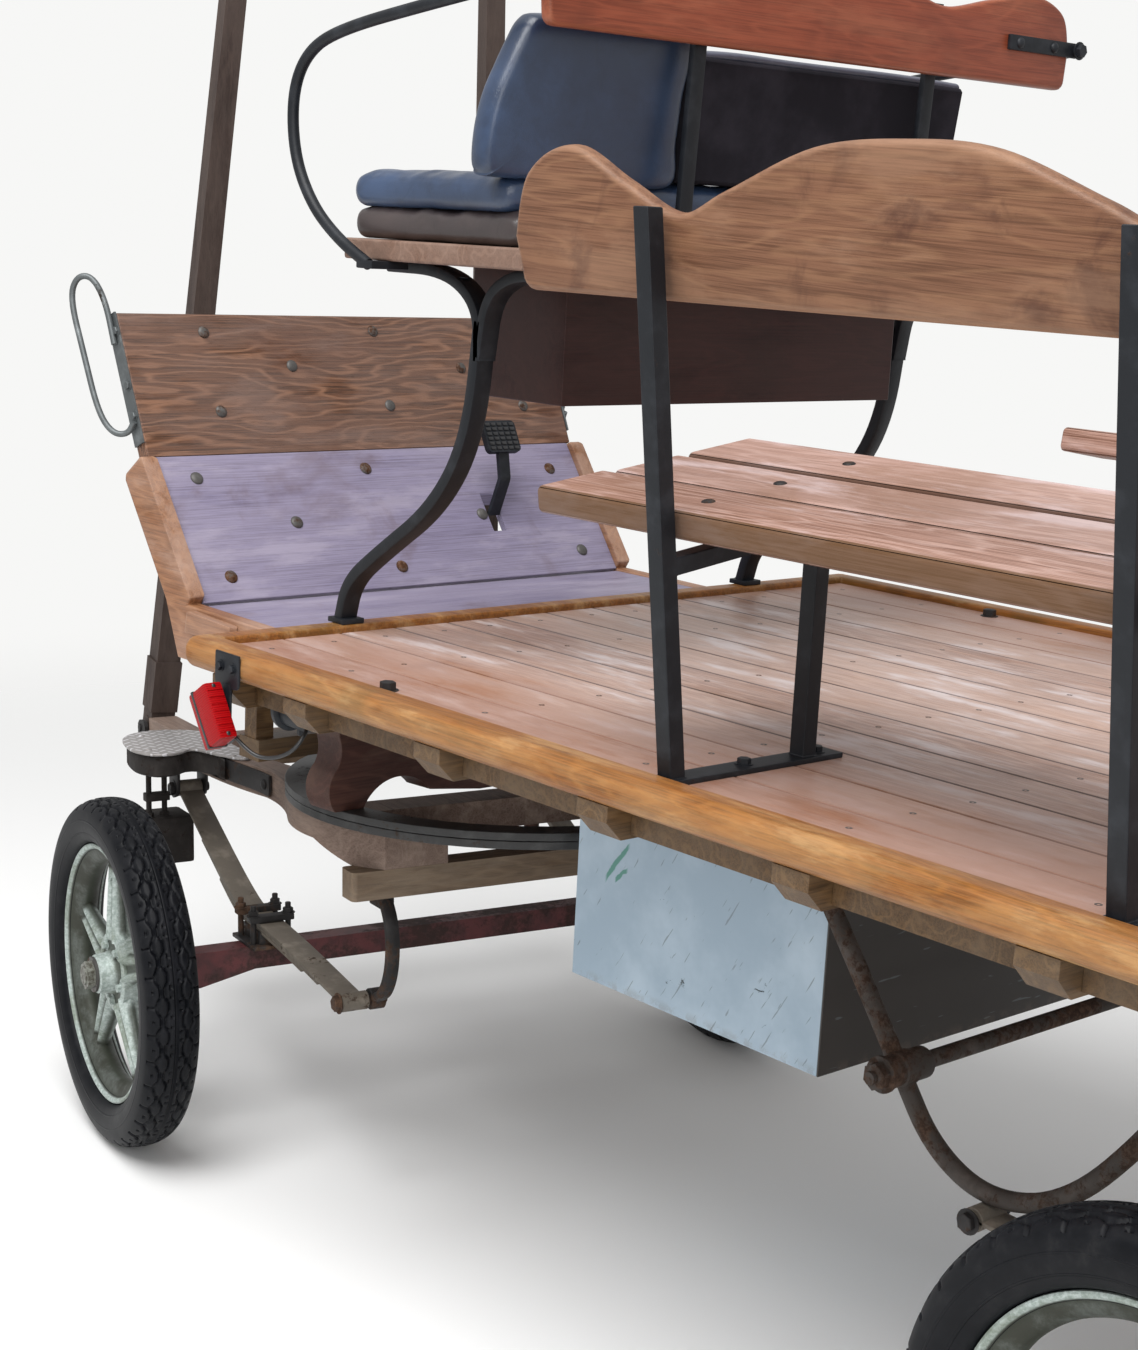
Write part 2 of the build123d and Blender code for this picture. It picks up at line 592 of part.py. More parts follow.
front_pin = rod((spring_x - 42, -795, 562), (spring_x + 42, -795, 562), 11)
front_spring = front_spring + c_hanger + rear_pin + front_bracket + front_pin
save("front_springs", both_sides(front_spring), fore_place)

rear_spring = leaf_pack(rear_leaf, rear_axle_y)
rear_pin_y = 2346
hanger = bent_flat(
    [(spring_x, 2262, 800), (spring_x, 2300, 690), (spring_x, 2352, 610), (spring_x, rear_pin_y, 500)],
    40, 16, 40,
)
hanger = hanger + rod((spring_x - 42, rear_pin_y, 500), (spring_x + 42, rear_pin_y, 500), 11)
hanger = hanger + rod((spring_x - 42, 2266, 423), (spring_x + 42, 2266, 423), 11)
shackle = side_plate([(2250, 412), (2282, 410), (2362, 492), (2340, 516)], spring_x + 27, spring_x + 34)
hanger = hanger + shackle + Pos(-61, 0, 0) * shackle
sill_under = Location((0, deck_front, deck_height), (-body_lean, 0, 0)) * block(
    200, 600, 0, deck_length, sill_low - seat_gap, 200
)
front_eye_pin = rod((spring_x - 42, *rear_eye), (spring_x + 42, *rear_eye), 11)
rear_spring = rear_spring + (hanger - sill_under) + front_eye_pin
save("rear_springs", both_sides(rear_spring), ground_place)

# Steps on the futchels: a chequered plate on a thick block, with a lower tread hung under it
plate_low = futchel_top + seat_gap
plate_edge = Polyline((356, -726), (391, -768), (452, -794), (514, -777), (550, -723), (568, -615),
                      (540, -546), (485, -544), (444, -584), (421, -500), (390, -440), (358, -456), close=True)
plate_outline = make_face(plate_edge)
plate_outline = chamfer(plate_outline.vertices().sort_by(Axis.X)[4:], 9)
step_plate = Pos(0, 0, plate_low) * extrude(plate_outline, amount=6)
step_block = Pos(0, 0, 640) * extrude(offset(plate_outline, -8), amount=plate_low - 640 - 0.01)
step_block = step_block - block(300, 416, -1000, 0, 600, plate_low)
iron_strap = block(415.2, 422, -660, -478, 642, plate_low)
tread = chamfer(block(386, 492, -850, -748, 414, 512).edges().filter_by(Axis.X), 6)
hung = tread
for x, y in ((441, -776), (474, -776)):
    hung = hung + rod((x, y, 500), (x, y, 642), 6)
hung = hung + block(432, 483, -786, -766, 545, 562)
save("steps", both_sides(step_plate + step_block + iron_strap + hung), fore_place)


def ring_stack(stations):
    """A ruled solid through regular polygons, given as (radius, height along the axle)."""
    faces = [Pos(0, 0, a) * RegularPolygon(r, tyre_sides, major_radius=False) for r, a in stations]
    return loft([face.face() for face in faces], ruled=True)


# Tyres, faceted alike so that a flat stands on the ground
outer_half = [(286, 53), (311, 43), (322, 23)]
inner_half = [(280, 53.1), (248, 40), (242.5, 27), (bead_radius, 26.9)]
tyre = ring_stack(outer_half + [(tyre_radius, 0)] + [(r, -a) for r, a in reversed(outer_half)])
tyre = tyre - ring_stack(inner_half + [(r, -a) for r, a in reversed(inner_half)])

# Cast wheels: rim, five ribbed spokes and a hub with its flange
well_half = [(230, rim_wide / 2 + 0.1), (202, 12)]
rim = ring_stack([(rim_radius, rim_wide / 2), (rim_radius, 27.3)])
rim = rim + ring_stack([(rim_radius, -rim_wide / 2), (rim_radius, -27.3)])
rim = rim + ring_stack([(bead_radius - 0.3, 27.3), (bead_radius - 0.3, -27.3)])
rim = rim - ring_stack(well_half + [(r, -a) for r, a in reversed(well_half)])
spoke_plan = make_face(Polyline((50, -31), (204, -17), (204, 17), (50, 31), close=True))
spoke = extrude(spoke_plan, amount=10, both=True)
rib_side = make_face(Polyline((48, 0, -27), (204, 0, -17), (204, 0, 17), (48, 0, 27), close=True))
spoke = spoke + extrude(rib_side, amount=6, both=True)
hub = extrude(RegularPolygon(hub_radius, 20), amount=hub_long / 2, both=True)
hub = hub + extrude(RegularPolygon(flange_radius, 20), amount=15, both=True)
wheel = rim + hub
for i in range(spoke_count):
    wheel = wheel + Rot(0, 0, i * 360 / spoke_count) * spoke
for i in range(spoke_count):
    wheel = wheel - Rot(0, 0, (i + 0.5) * 360 / spoke_count) * Pos(56, 0, 0) * extrude(RegularPolygon(9, 8), amount=30, both=True)
wheel = wheel - Cylinder(stub_radius + stub_fit, hub_long + 2)

left_turn = Rot(0, 90, 0)
wheel_places = {
    "front_left": fore_place * Pos(front_track_half, front_axle_y, tyre_radius) * left_turn,
    "front_right": fore_place * Pos(-front_track_half, front_axle_y, tyre_radius) * left_turn,
    "rear_left": ground_place * Pos(rear_track_half, rear_axle_y, tyre_radius) * left_turn,
    "rear_right": ground_place * Pos(-rear_track_half, rear_axle_y, tyre_radius) * left_turn,
}
half_side = Rot(0, 0, 180 / tyre_sides)  # turns a flat down
for name, place in wheel_places.items():
    save(f"tyre_{name}", half_side * tyre, place)
    save(f"wheel_{name}", half_side * wheel, place)

# The shafts turn on the pins of the cross beam
shaft_taper = math.degrees(math.atan((shaft_foot_side - shaft_tip_side) / 2 / shaft_long))
shaft = extrude(Rectangle(shaft_foot_side, shaft_foot_side), amount=shaft_long, taper=shaft_taper)
knuckle = Rot(0, 90, 0) * extrude(RegularPolygon(shaft_foot_side / 2, 16), amount=shaft_foot_side / 2, both=True)
socket = Pos(0, 0, 95) * Box(shaft_foot_side + 6, shaft_foot_side + 6, 110)
pin_hole = Rot(0, 90, 0) * Cylinder(hinge_pin_radius + pin_fit, 3 * shaft_foot_side)
for side, sign in (("left", 1), ("right", -1)):
    shaft_part = Rot(-shaft_lean, 0, 0) * (Rot(0, -sign * shaft_close, 0) * (shaft + socket) + knuckle - pin_hole)
    save(f"shaft_{side}", Pos(sign * shaft_x, *shaft_hinge) * shaft_part, fore_place)
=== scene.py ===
import math
import random
from itertools import product

import bmesh
import bpy
from mathutils import Matrix, Vector, noise


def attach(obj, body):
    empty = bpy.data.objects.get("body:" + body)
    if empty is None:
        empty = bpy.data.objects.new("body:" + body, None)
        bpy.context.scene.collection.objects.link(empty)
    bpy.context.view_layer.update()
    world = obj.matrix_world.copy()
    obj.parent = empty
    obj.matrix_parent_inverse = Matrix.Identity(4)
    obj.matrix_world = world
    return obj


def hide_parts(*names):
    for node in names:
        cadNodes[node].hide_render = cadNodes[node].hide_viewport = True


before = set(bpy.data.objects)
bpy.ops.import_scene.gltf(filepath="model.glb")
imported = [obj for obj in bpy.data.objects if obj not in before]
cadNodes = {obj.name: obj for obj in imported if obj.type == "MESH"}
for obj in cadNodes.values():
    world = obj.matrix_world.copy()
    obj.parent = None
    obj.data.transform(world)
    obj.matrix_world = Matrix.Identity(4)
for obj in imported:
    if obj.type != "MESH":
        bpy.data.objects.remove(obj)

random.seed(11)
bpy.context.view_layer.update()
print("frame loaded,", len(cadNodes), "nodes")

# the vehicle's own frames: lengths inside them are millimetres
vehicle = {
    "middleX": -15.75,  # of the extents, from the ground point under the kingpin
    "middleY": 656.384,
    "bodyLean": 2.6,  # degrees, tail down
    "steerRest": 12.2,  # degrees, the fore-carriage is parked turned
    "deckFront": 45,
    "deckHeight": 1030,
}


def move(x, y, z):
    return Matrix.Translation((x, y, z))


def turn(axis, degrees):
    return Matrix.Rotation(math.radians(degrees), 4, axis)


groundPlace = move(-vehicle["middleX"] / 1000, -vehicle["middleY"] / 1000, 0)
deckPlace = groundPlace @ move(0, vehicle["deckFront"] / 1000, vehicle["deckHeight"] / 1000)
deckPlace = deckPlace @ turn("X", -vehicle["bodyLean"])
forePlace = groundPlace @ turn("Z", -vehicle["steerRest"])
# each frame's place, and the body that its pieces ride on
sites = {"ground": (groundPlace, "carriage"), "deck": (deckPlace, "carriage"), "fore": (forePlace, "fore_carriage")}
mm = Matrix.Scale(0.001, 4)
axisTip = 0.02  # radius at the tip of a turned part
weldReach = 0.002


# mesh tools, all in millimetres
def addObject(name, data, place):
    obj = bpy.data.objects.new(name, data)
    bpy.context.scene.collection.objects.link(obj)
    obj.matrix_world = place
    return obj


def subdivide(obj):
    mod = obj.modifiers.new("smooth", "SUBSURF")
    mod.levels = mod.render_levels = 1


def finishPiece(name, bm, material, node=None, site="deck", sharp=34, place=None, body=None, smooth=False):
    # edges above sharp degrees stay hard; node is the CAD node that the piece replaces
    bmesh.ops.remove_doubles(bm, verts=bm.verts, dist=weldReach)
    bmesh.ops.recalc_face_normals(bm, faces=bm.faces)
    for face in bm.faces:
        face.smooth = True
    for edge in bm.edges:
        if len(edge.link_faces) == 2 and edge.calc_face_angle(0) > math.radians(sharp):
            edge.smooth = False
    bm.transform(mm)
    data = bpy.data.meshes.new(name)
    bm.to_mesh(data)
    bm.free()
    obj = addObject(name, data, place or sites[site][0])
    data.materials.append(material)
    if smooth:
        subdivide(obj)
    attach(obj, body or sites[site][1])
    if node:
        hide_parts(node)
    return obj


def addBevel(obj, width):
    mod = obj.modifiers.new("edges", "BEVEL")
    mod.width = width / 1000
    mod.segments = 2
    mod.limit_method = "ANGLE"
    mod.angle_limit = math.radians(28)
    mod.use_clamp_overlap = True


def addBox(bm, low, high, bevel, place=None):
    corners = [Vector(c) for c in product(*zip(low, high))]
    verts = [bm.verts.new(place @ c if place else c) for c in corners]
    quads = ((0, 1, 3, 2), (4, 6, 7, 5), (0, 4, 5, 1), (2, 3, 7, 6), (0, 2, 6, 4), (1, 5, 7, 3))
    faces = [bm.faces.new([verts[i] for i in quad]) for quad in quads]
    edges = list({e for f in faces for e in f.edges})
    bmesh.ops.bevel(bm, geom=edges, offset=bevel, segments=2, profile=0.6, affect="EDGES", clamp_overlap=True)


def joinRings(bm, rings, around=False, split=False):
    # faces between neighbouring rings; around joins the last to the first, split leaves every ring open
    for one, two in zip(rings, rings[1:] + (rings[:1] if around else [])):
        count = len(one)
        for i in range(count - 1 if split else count):
            j = (i + 1) % count
            bm.faces.new((one[i], one[j], two[j], two[i]))


def capRings(bm, rings):
    bm.faces.new(rings[0][::-1])
    bm.faces.new(rings[-1])


def catmullRom(points, steps):
    # a smooth line from the second point to the last but one
    line = []
    for p0, p1, p2, p3 in zip(points, points[1:], points[2:], points[3:]):
        for k in range(steps):
            t = k / steps
            line.append(0.5 * ((2 * p1) + (p2 - p0) * t + (2 * p0 - 5 * p1 + 4 * p2 - p3) * t * t
                               + (3 * p1 - p0 - 3 * p2 + p3) * t ** 3))
    return line


def bendLine(points, steps=8, reach=0.5, closed=False):
    # a line whose corners are rounded up to the middles of their sides
    points = [Vector(p) for p in points]
    count = len(points)
    line = [] if closed else [points[0]]
    for i in range(count if closed else count - 2):
        before, corner, after = (points[(i + k) % count] for k in (0, 1, 2))
        start, end = corner.lerp(before, reach), corner.lerp(after, reach)
        for k in range(steps + 1):
            t = k / steps
            line.append(start.lerp(corner, t).lerp(corner.lerp(end, t), t))
    if not closed:
        line.append(points[-1])
    kept = [line[0]]
    for p in line[1:]:
        if (p - kept[-1]).length > 0.05:
            kept.append(p)
    return kept


def directions(points):
    last = len(points) - 1
    return [(points[min(i + 1, last)] - points[max(i - 1, 0)]).normalized() for i in range(last + 1)]


def addTube(bm, points, radius, sides, flat=1.0, side=None):
    # flat squeezes the section, whose width lies along side
    points = [Vector(p) for p in points]
    angles = [2 * math.pi * k / sides for k in range(sides)]
    rings = []
    across = None
    for point, way in zip(points, directions(points)):
        if across is None:
            across = Vector(side) if side else way.orthogonal()
        across = (across - way * across.dot(way)).normalized()
        other = way.cross(across)
        rings.append([bm.verts.new(point + across * (radius * math.cos(a)) + other * (radius * flat * math.sin(a)))
                      for a in angles])
    joinRings(bm, rings)
    capRings(bm, rings)


def addBar(bm, points, wide, thick, side=(1, 0, 0), round=0.22):
    # a flat bar with broken edges, its width along side
    points = [Vector(p) for p in points]
    side = Vector(side).normalized()
    a, b, cut = wide / 2, thick / 2, min(wide, thick) * round
    section = []
    for sx, sy in ((1, -1), (1, 1), (-1, 1), (-1, -1)):
        corner = [(sx * (a - cut), sy * b), (sx * (a - cut * 0.3), sy * (b - cut * 0.3)), (sx * a, sy * (b - cut))]
        section += corner if sx * sy < 0 else corner[::-1]
    rings = []
    for point, way in zip(points, directions(points)):
        up = side.cross(way).normalized()
        rings.append([bm.verts.new(point + side * p + up * q) for p, q in section])
    joinRings(bm, rings)
    capRings(bm, rings)


def addLathe(bm, profile, steps, place=None, closed=False):
    # profile of (along, radius) round the local x axis
    place = place or Matrix.Identity(4)
    rings = []
    for k in range(steps):
        angle = 2 * math.pi * k / steps
        c, s = math.cos(angle), math.sin(angle)
        rings.append([bm.verts.new(place @ Vector((a, r * c, r * s))) for a, r in profile])
    joinRings(bm, rings, around=True, split=not closed)
    if not closed:
        for end in (0, -1):
            bm.faces.new([ring[end] for ring in rings])


def towards(origin, direction):
    # a place whose local x axis points along direction
    return Matrix.Translation(origin) @ Vector(direction).to_track_quat("X", "Z").to_matrix().to_4x4()


def quarter(steps):
    # sines and cosines at even steps through a right angle
    return [(math.sin(a), math.cos(a)) for a in (math.pi / 2 * k / steps for k in range(steps + 1))]


def addDome(bm, point, normal, radius, height):
    profile = [(-0.6, radius)] + [(height * s, max(radius * c, axisTip)) for s, c in quarter(4)]
    addLathe(bm, profile, 14, towards(point, normal))


def addHexBolt(bm, point, normal, radius, height, washer=1.0):
    place = towards(point, normal) @ Matrix.Rotation(random.uniform(0, math.pi / 3), 4, "X")
    if washer:
        addLathe(bm, [(-0.4, radius * 1.35), (washer, radius * 1.35), (washer, axisTip)], 20, place)
    top = height + washer
    addLathe(bm, [(washer * 0.9, radius), (top - 1, radius), (top, radius * 0.88), (top, axisTip)], 6, place)


def mirrorMesh(bm):
    # the same on the other side of the middle plane
    copy = bmesh.ops.duplicate(bm, geom=bm.verts[:] + bm.edges[:] + bm.faces[:])["geom"]
    for item in copy:
        if isinstance(item, bmesh.types.BMVert):
            item.co.x = -item.co.x
    bmesh.ops.reverse_faces(bm, faces=[g for g in copy if isinstance(g, bmesh.types.BMFace)])


def mirrored(half):
    return half + [(-a, b) for a, b in reversed(half[:-1])]


def insetLine(line, amount):
    # the closed line moved inwards, corner by corner
    turned = line[1:] + line[:1]
    area = sum(a[0] * b[1] - b[0] * a[1] for a, b in zip(line, turned))
    sign = 1 if area > 0 else -1
    moved = []
    for before, here, after in zip(line[-1:] + line[:-1], line, turned):
        one, two = (here - before).normalized(), (after - here).normalized()
        n1, n2 = Vector((-one.y, one.x)) * sign, Vector((-two.y, two.x)) * sign
        way = n1 + n2
        way = way / max(0.3, way.dot(n1) if way.length > 1e-6 else 1)
        moved.append(here + way * amount)
    return moved


def addRoundedPlate(bm, outline, thick, rounding, place, arcSteps=4):
    # outline in local xy; the rims of both faces rounded
    line = [Vector(p) for p in outline]
    levels = [(rounding * (1 - s), -thick / 2 + rounding * (1 - c)) for s, c in quarter(arcSteps)]
    levels += [(inset, -z) for inset, z in reversed(levels)]
    rings = [[bm.verts.new(place @ Vector((p.x, p.y, z))) for p in insetLine(line, inset)] for inset, z in levels]
    joinRings(bm, rings)
    capRings(bm, rings)


# shader tools
class Link:
    # one output socket, with sums written as Python
    def __init__(self, nodes, socket):
        self.nodes, self.socket = nodes, socket

    def __truediv__(self, other):
        return self.nodes.maths("DIVIDE", self, other)

    def __add__(self, other):
        return self.nodes.maths("ADD", self, other)

    def __radd__(self, other):
        return self.nodes.maths("ADD", other, self)

    def __sub__(self, other):
        return self.nodes.maths("SUBTRACT", self, other)

    def __rsub__(self, other):
        return self.nodes.maths("SUBTRACT", other, self)

    def __mul__(self, other):
        return self.nodes.maths("MULTIPLY", self, other)

    def __rmul__(self, other):
        return self.nodes.maths("MULTIPLY", other, self)


class Nodes:
    # a node tree under construction: every node is added here and joined by its sockets
    def __init__(self, tree):
        self.tree = tree

    def add(self, kind, settings, sockets, out=0):
        node = self.tree.nodes.new(kind)
        for key, value in settings.items():
            setattr(node, key, value)
        for key, value in sockets.items():
            self.join(node.inputs[key], value)
        return Link(self, node.outputs[out])

    def join(self, socket, value):
        if isinstance(value, Link):
            self.tree.links.new(value.socket, socket)
        else:
            socket.default_value = (*value, 1) if socket.type == "RGBA" else value

    def maths(self, operation, *values):
        return self.add("ShaderNodeMath", {"operation": operation}, dict(enumerate(values)))


class Finish(Nodes):
    # a material, whose pattern lies in the frame of a site or of its own piece
    def __init__(self, name, site=None):
        self.material = bpy.data.materials.new(name)
        self.material.use_nodes = True
        super().__init__(self.material.node_tree)
        self.shader = next(n for n in self.tree.nodes if n.type == "BSDF_PRINCIPLED")
        self.point = self.add("ShaderNodeTexCoord", {}, {}, out="Object")
        if site:
            place = sites[site][0]
            self.point = self.add("ShaderNodeMapping", {"vector_type": "TEXTURE"}, {
                "Vector": self.point, "Location": place.to_translation(), "Rotation": place.to_euler(),
            })

    def axes(self):
        # millimetres along each axis
        split = self.add("ShaderNodeSeparateXYZ", {}, {0: self.point}).socket.node
        return [Link(self, output) * 1000 for output in split.outputs]

    def radius(self, y, z):
        return self.maths("SQRT", y * y + z * z)

    def vector(self, x, y, z):
        return self.add("ShaderNodeCombineXYZ", {}, {0: x, 1: y, 2: z})

    def noise(self, scale, detail=4, rough=0.55, vector=None, warp=0):
        return self.add("ShaderNodeTexNoise", {}, {
            "Vector": vector or self.point, "Scale": scale, "Detail": detail, "Roughness": rough, "Distortion": warp,
        })

    def step(self, value, low, high):
        # 0 below low, 1 above high, smooth between
        return self.add("ShaderNodeMapRange", {"interpolation_type": "SMOOTHSTEP"}, {
            "Value": value, "From Min": low, "From Max": high, "To Min": 0.0, "To Max": 1.0,
        })

    def mix(self, first, second, share):
        return self.add("ShaderNodeMix", {"data_type": "RGBA"}, {0: share, 6: first, 7: second}, out=2)

    def absolute(self, value):
        return self.maths("ABSOLUTE", value)

    def fraction(self, value):
        return self.maths("FRACT", value)

    def floor(self, value):
        return self.maths("FLOOR", value)

    def sine(self, value):
        return self.maths("SINE", value)

    def most(self, first, second):
        return self.maths("MAXIMUM", first, second)

    def random(self, value):
        return self.add("ShaderNodeTexWhiteNoise", {"noise_dimensions": "1D"}, {"W": value}, out="Value")

    def pointiness(self):
        # above 0.5 on outer corners, below it in hollows
        return self.add("ShaderNodeNewGeometry", {}, {}, out="Pointiness")

    def finish(self, tone, rough, bump=None, depth=0.5, metallic=0.0, coat=0.0, specular=0.5):
        values = {"Base Color": tone, "Roughness": rough, "Metallic": metallic, "Coat Weight": coat,
                  "Coat Roughness": 0.25, "Specular IOR Level": specular}
        if bump:
            sockets = {"Height": bump, "Distance": depth / 1000, "Strength": 1.0}
            values["Normal"] = self.add("ShaderNodeBump", {}, sockets)
        for key, value in values.items():
            self.join(self.shader.inputs[key], value)
        return self.material


def colour(red, green, blue):
    # an 8-bit screen colour as linear light
    return tuple(((c / 255 + 0.055) / 1.055) ** 2.4 if c > 10 else c / 255 / 12.92 for c in (red, green, blue))


def woodFinish(name, axis, dark, mid, light, stain, worn, site="deck", pitch=0, start=0,
               dirt=None, split=4000, rings=0.07, figure=0.45,
               pores=0.55, boardVary=0.35, stainScale=3.2, stains=0.5, wearScale=5.5, wear=0.4, outside=None,
               warm=None, edge=0.0, matt=0.0, relief=0.35, coat=0.0):
    # axis: of the grain; pitch: of the boards, across the grain; dirt: the colour between them;
    # outside, warm: distances from the middle, and the colour beyond
    f = Finish(name, site)
    x, y, z = f.axes()
    along, across, up = {"x": (x, y, z), "y": (y, x, z), "z": (z, x, y)}[axis]
    if pitch:
        shifted = (across + start) / pitch
        own = f.random(f.floor(shifted) + 0.5)
    else:
        own = f.random(f.floor((up + 3000) / split) + 7.0)
    longway = along + own * 9000
    drift = f.noise(1.0, 3, 0.5, f.vector(longway * 0.0022, across * 0.012, up * 0.012))
    grain = f.noise(1.0, 7, 0.62, f.vector(longway * 0.006, across * 0.42, up * 0.42), warp=0.35)
    pore = f.noise(1.0, 3, 0.6, f.vector(longway * 0.035, across * 1.6, up * 1.6))
    curl = f.step(f.absolute(f.sine(drift * 34 + across * rings + own * 6)), 0.05, 0.8)
    tone = f.mix(dark, mid, f.step(grain, 0.34, 0.6))
    tone = f.mix(tone, light, (1 - curl) * figure)
    tone = f.mix(tone, dark, f.step(pore, 0.60, 0.74) * pores)
    tone = f.mix(tone, light, own * boardVary)
    tone = f.mix(tone, stain, f.step(f.noise(stainScale, 5, 0.6, warp=0.6), 0.52, 0.68) * stains)
    rubbing = f.noise(wearScale, 6, 0.66, f.vector(along * 0.0006, across * 0.0024, up * 0.0024))
    rubbed = f.step(rubbing, 0.5, 0.66) * wear
    tone = f.mix(tone, worn, rubbed)
    if dirt:
        gap = f.step(f.absolute(f.fraction(shifted) - 0.5), 0.455, 0.485)
        tone = f.mix(tone, dirt, gap * 0.85)
    if outside:
        beyond, shade = outside
        tone = f.mix(tone, shade, f.step(f.absolute(x), beyond - 1.5, beyond) * 0.85)
    if warm:
        low, high, shade = warm
        tone = f.mix(tone, shade, f.step(f.absolute(x) + (drift - 0.5) * 260, low, high) * 0.7)
    if edge:
        bare = f.step(f.pointiness(), 0.508, 0.56) * f.step(rubbing, 0.3, 0.5)
        tone = f.mix(tone, worn, bare * edge)
    rough = 0.42 + rubbed * 0.35 + f.step(pore, 0.5, 0.8) * 0.15 + matt
    height = grain * 0.7 - f.step(pore, 0.55, 0.75) * 0.5
    return f.finish(tone, rough, height, relief, coat=coat, specular=0.22)


def ironFinish(name, paint, rust, rustShare, rough=0.45, relief=0.5, metallic=0.0):
    f = Finish(name)
    broad, fine, dust = f.noise(9, 6, 0.65), f.noise(90, 5, 0.7), f.noise(26, 4, 0.6)
    spots = f.step(broad * 0.65 + fine * 0.35, 0.66 - rustShare * 0.42, 0.70 - rustShare * 0.3)
    tone = f.mix(paint, tuple(min(1, c * 2.1 + 0.01) for c in paint), f.step(dust, 0.45, 0.75) * 0.6)
    rusty = f.mix(rust, tuple(c * 0.42 for c in rust), f.step(fine, 0.4, 0.6))
    tone = f.mix(tone, rusty, spots)
    bump = spots * 0.6 + fine * 0.6
    return f.finish(tone, rough + spots * 0.35 + dust * 0.1, bump, relief, metallic=metallic, specular=0.32)


def axleFinish(name, site):
    # oxide red beam, bare steel at the stubs' ends
    f = Finish(name, site)
    x, y, z = f.axes()
    broad, fine = f.noise(9, 6, 0.65), f.noise(90, 5, 0.7)
    rust = f.step(broad * 0.65 + fine * 0.35, 0.46, 0.58)
    tone = f.mix(colour(88, 38, 40), colour(60, 26, 28), f.step(f.noise(26, 4, 0.6), 0.4, 0.7))
    tone = f.mix(tone, colour(44, 32, 27), rust * 0.8)
    bare = f.mix(colour(120, 122, 114), colour(66, 62, 52), f.step(fine, 0.4, 0.62))
    tone = f.mix(tone, bare, f.step(f.absolute(x), 572, 578))
    return f.finish(tone, 0.5 + rust * 0.3, rust * 0.6 + fine * 0.6, 0.7)


def tyreFinish():
    f = Finish("tyre_rubber")
    x, y, z = f.axes()
    radius = f.radius(y, z)
    dust, fine = f.noise(24, 6, 0.7), f.noise(260, 4, 0.7)
    wall = f.step(f.absolute(x), 40, 50)
    low = 1 - f.step(radius, 300, 318)
    tone = f.mix((0.0035, 0.004, 0.0055), (0.010, 0.0105, 0.013), f.step(dust, 0.35, 0.75))
    tone = f.mix(tone, colour(70, 68, 60), f.step(dust, 0.5, 0.85) * (wall * 0.16 + low * 0.08))
    # moulded lines round the wall
    lines = f.most(*(1 - f.step(f.absolute(radius - at), 0.8, 2) for at in (262, 286)))
    return f.finish(tone, 0.34 + dust * 0.3, fine * 0.3 + dust * 0.3 + lines * 3, 0.25, specular=0.14)


def castFinish():
    f = Finish("cast_wheel")
    x, y, z = f.axes()
    radius, off = f.radius(y, z), f.absolute(x)
    grime, fine = f.noise(11, 6, 0.7), f.noise(150, 4, 0.7)
    # hollow, found by pointiness, and inner, the spokes' grooves, are darkened as painted shade
    hollow = 1 - f.step(f.pointiness(), 0.46, 0.503)
    # the rim's barrel is darkened for grime and as painted shade
    barrelGrimeAndShade = f.step(radius, 188, 202) * (1 - f.step(off, 28, 32))
    inner = (1 - f.step(off, 3, 12)) * f.step(radius, 74, 90)
    tone = f.mix(colour(146, 158, 152), colour(190, 200, 197), f.step(fine, 0.35, 0.7))
    tone = f.mix(tone, colour(104, 112, 92), f.step(grime, 0.46, 0.64) * 0.6)
    tone = f.mix(tone, colour(46, 47, 38), barrelGrimeAndShade * (0.84 + f.step(grime, 0.4, 0.6) * 0.14))
    # painted shade in the spokes' grooves and the hollows
    tone = f.mix(tone, colour(52, 56, 46), f.most(inner, hollow) * 0.86)
    return f.finish(tone, 0.4 + grime * 0.35, fine * 0.5 + grime * 0.4, 0.3, metallic=0.3)


def vinylFinish(name, base, light, relief=0.35, rough=0.34, scale=1.0):
    f = Finish(name)
    broad = f.noise(5, 5, 0.6)
    pebble = f.add("ShaderNodeTexVoronoi", {}, {"Vector": f.point, "Scale": 620 * scale}, out="Distance")
    fold = f.step(f.absolute(f.noise(13, 5, 0.55, warp=0.4) - 0.5), 0.0, 0.05)
    tone = f.mix(base, light, f.step(broad, 0.4, 0.7) * 0.55)
    # darker along the folds: painted shade in the creases
    tone = f.mix(tone, tuple(c * 0.6 for c in base), (1 - fold) * 0.18)
    tone = f.mix(tone, colour(150, 150, 148), f.step(f.noise(38, 7, 0.75), 0.66, 0.78) * 0.35)
    return f.finish(tone, rough + broad * 0.18, pebble * 0.6 + fold * 0.3, relief, coat=0.35)


def feltFinish():
    f = Finish("dark_felt")
    fuzz, broad = f.noise(900, 3, 0.8), f.noise(9, 5, 0.6)
    tone = f.mix(colour(30, 29, 35), colour(54, 52, 60), f.step(broad, 0.4, 0.7) * 0.6 + fuzz * 0.25)
    return f.finish(tone, 0.92, fuzz + broad * 0.4, 0.8, specular=0.15)


toolBox = {
    "rear": 1002,  # the sheet behind it is painted dark, as shade
    # green strokes: place (y, z) of a point on each, its slope, its half width, and where it starts and ends
    "strokes": (((573, -277), 1.26, (4, 7), (546, 552), (592, 600)), ((583, -296), 0.73, (3, 5), (568, 572), (592, 598))),
}


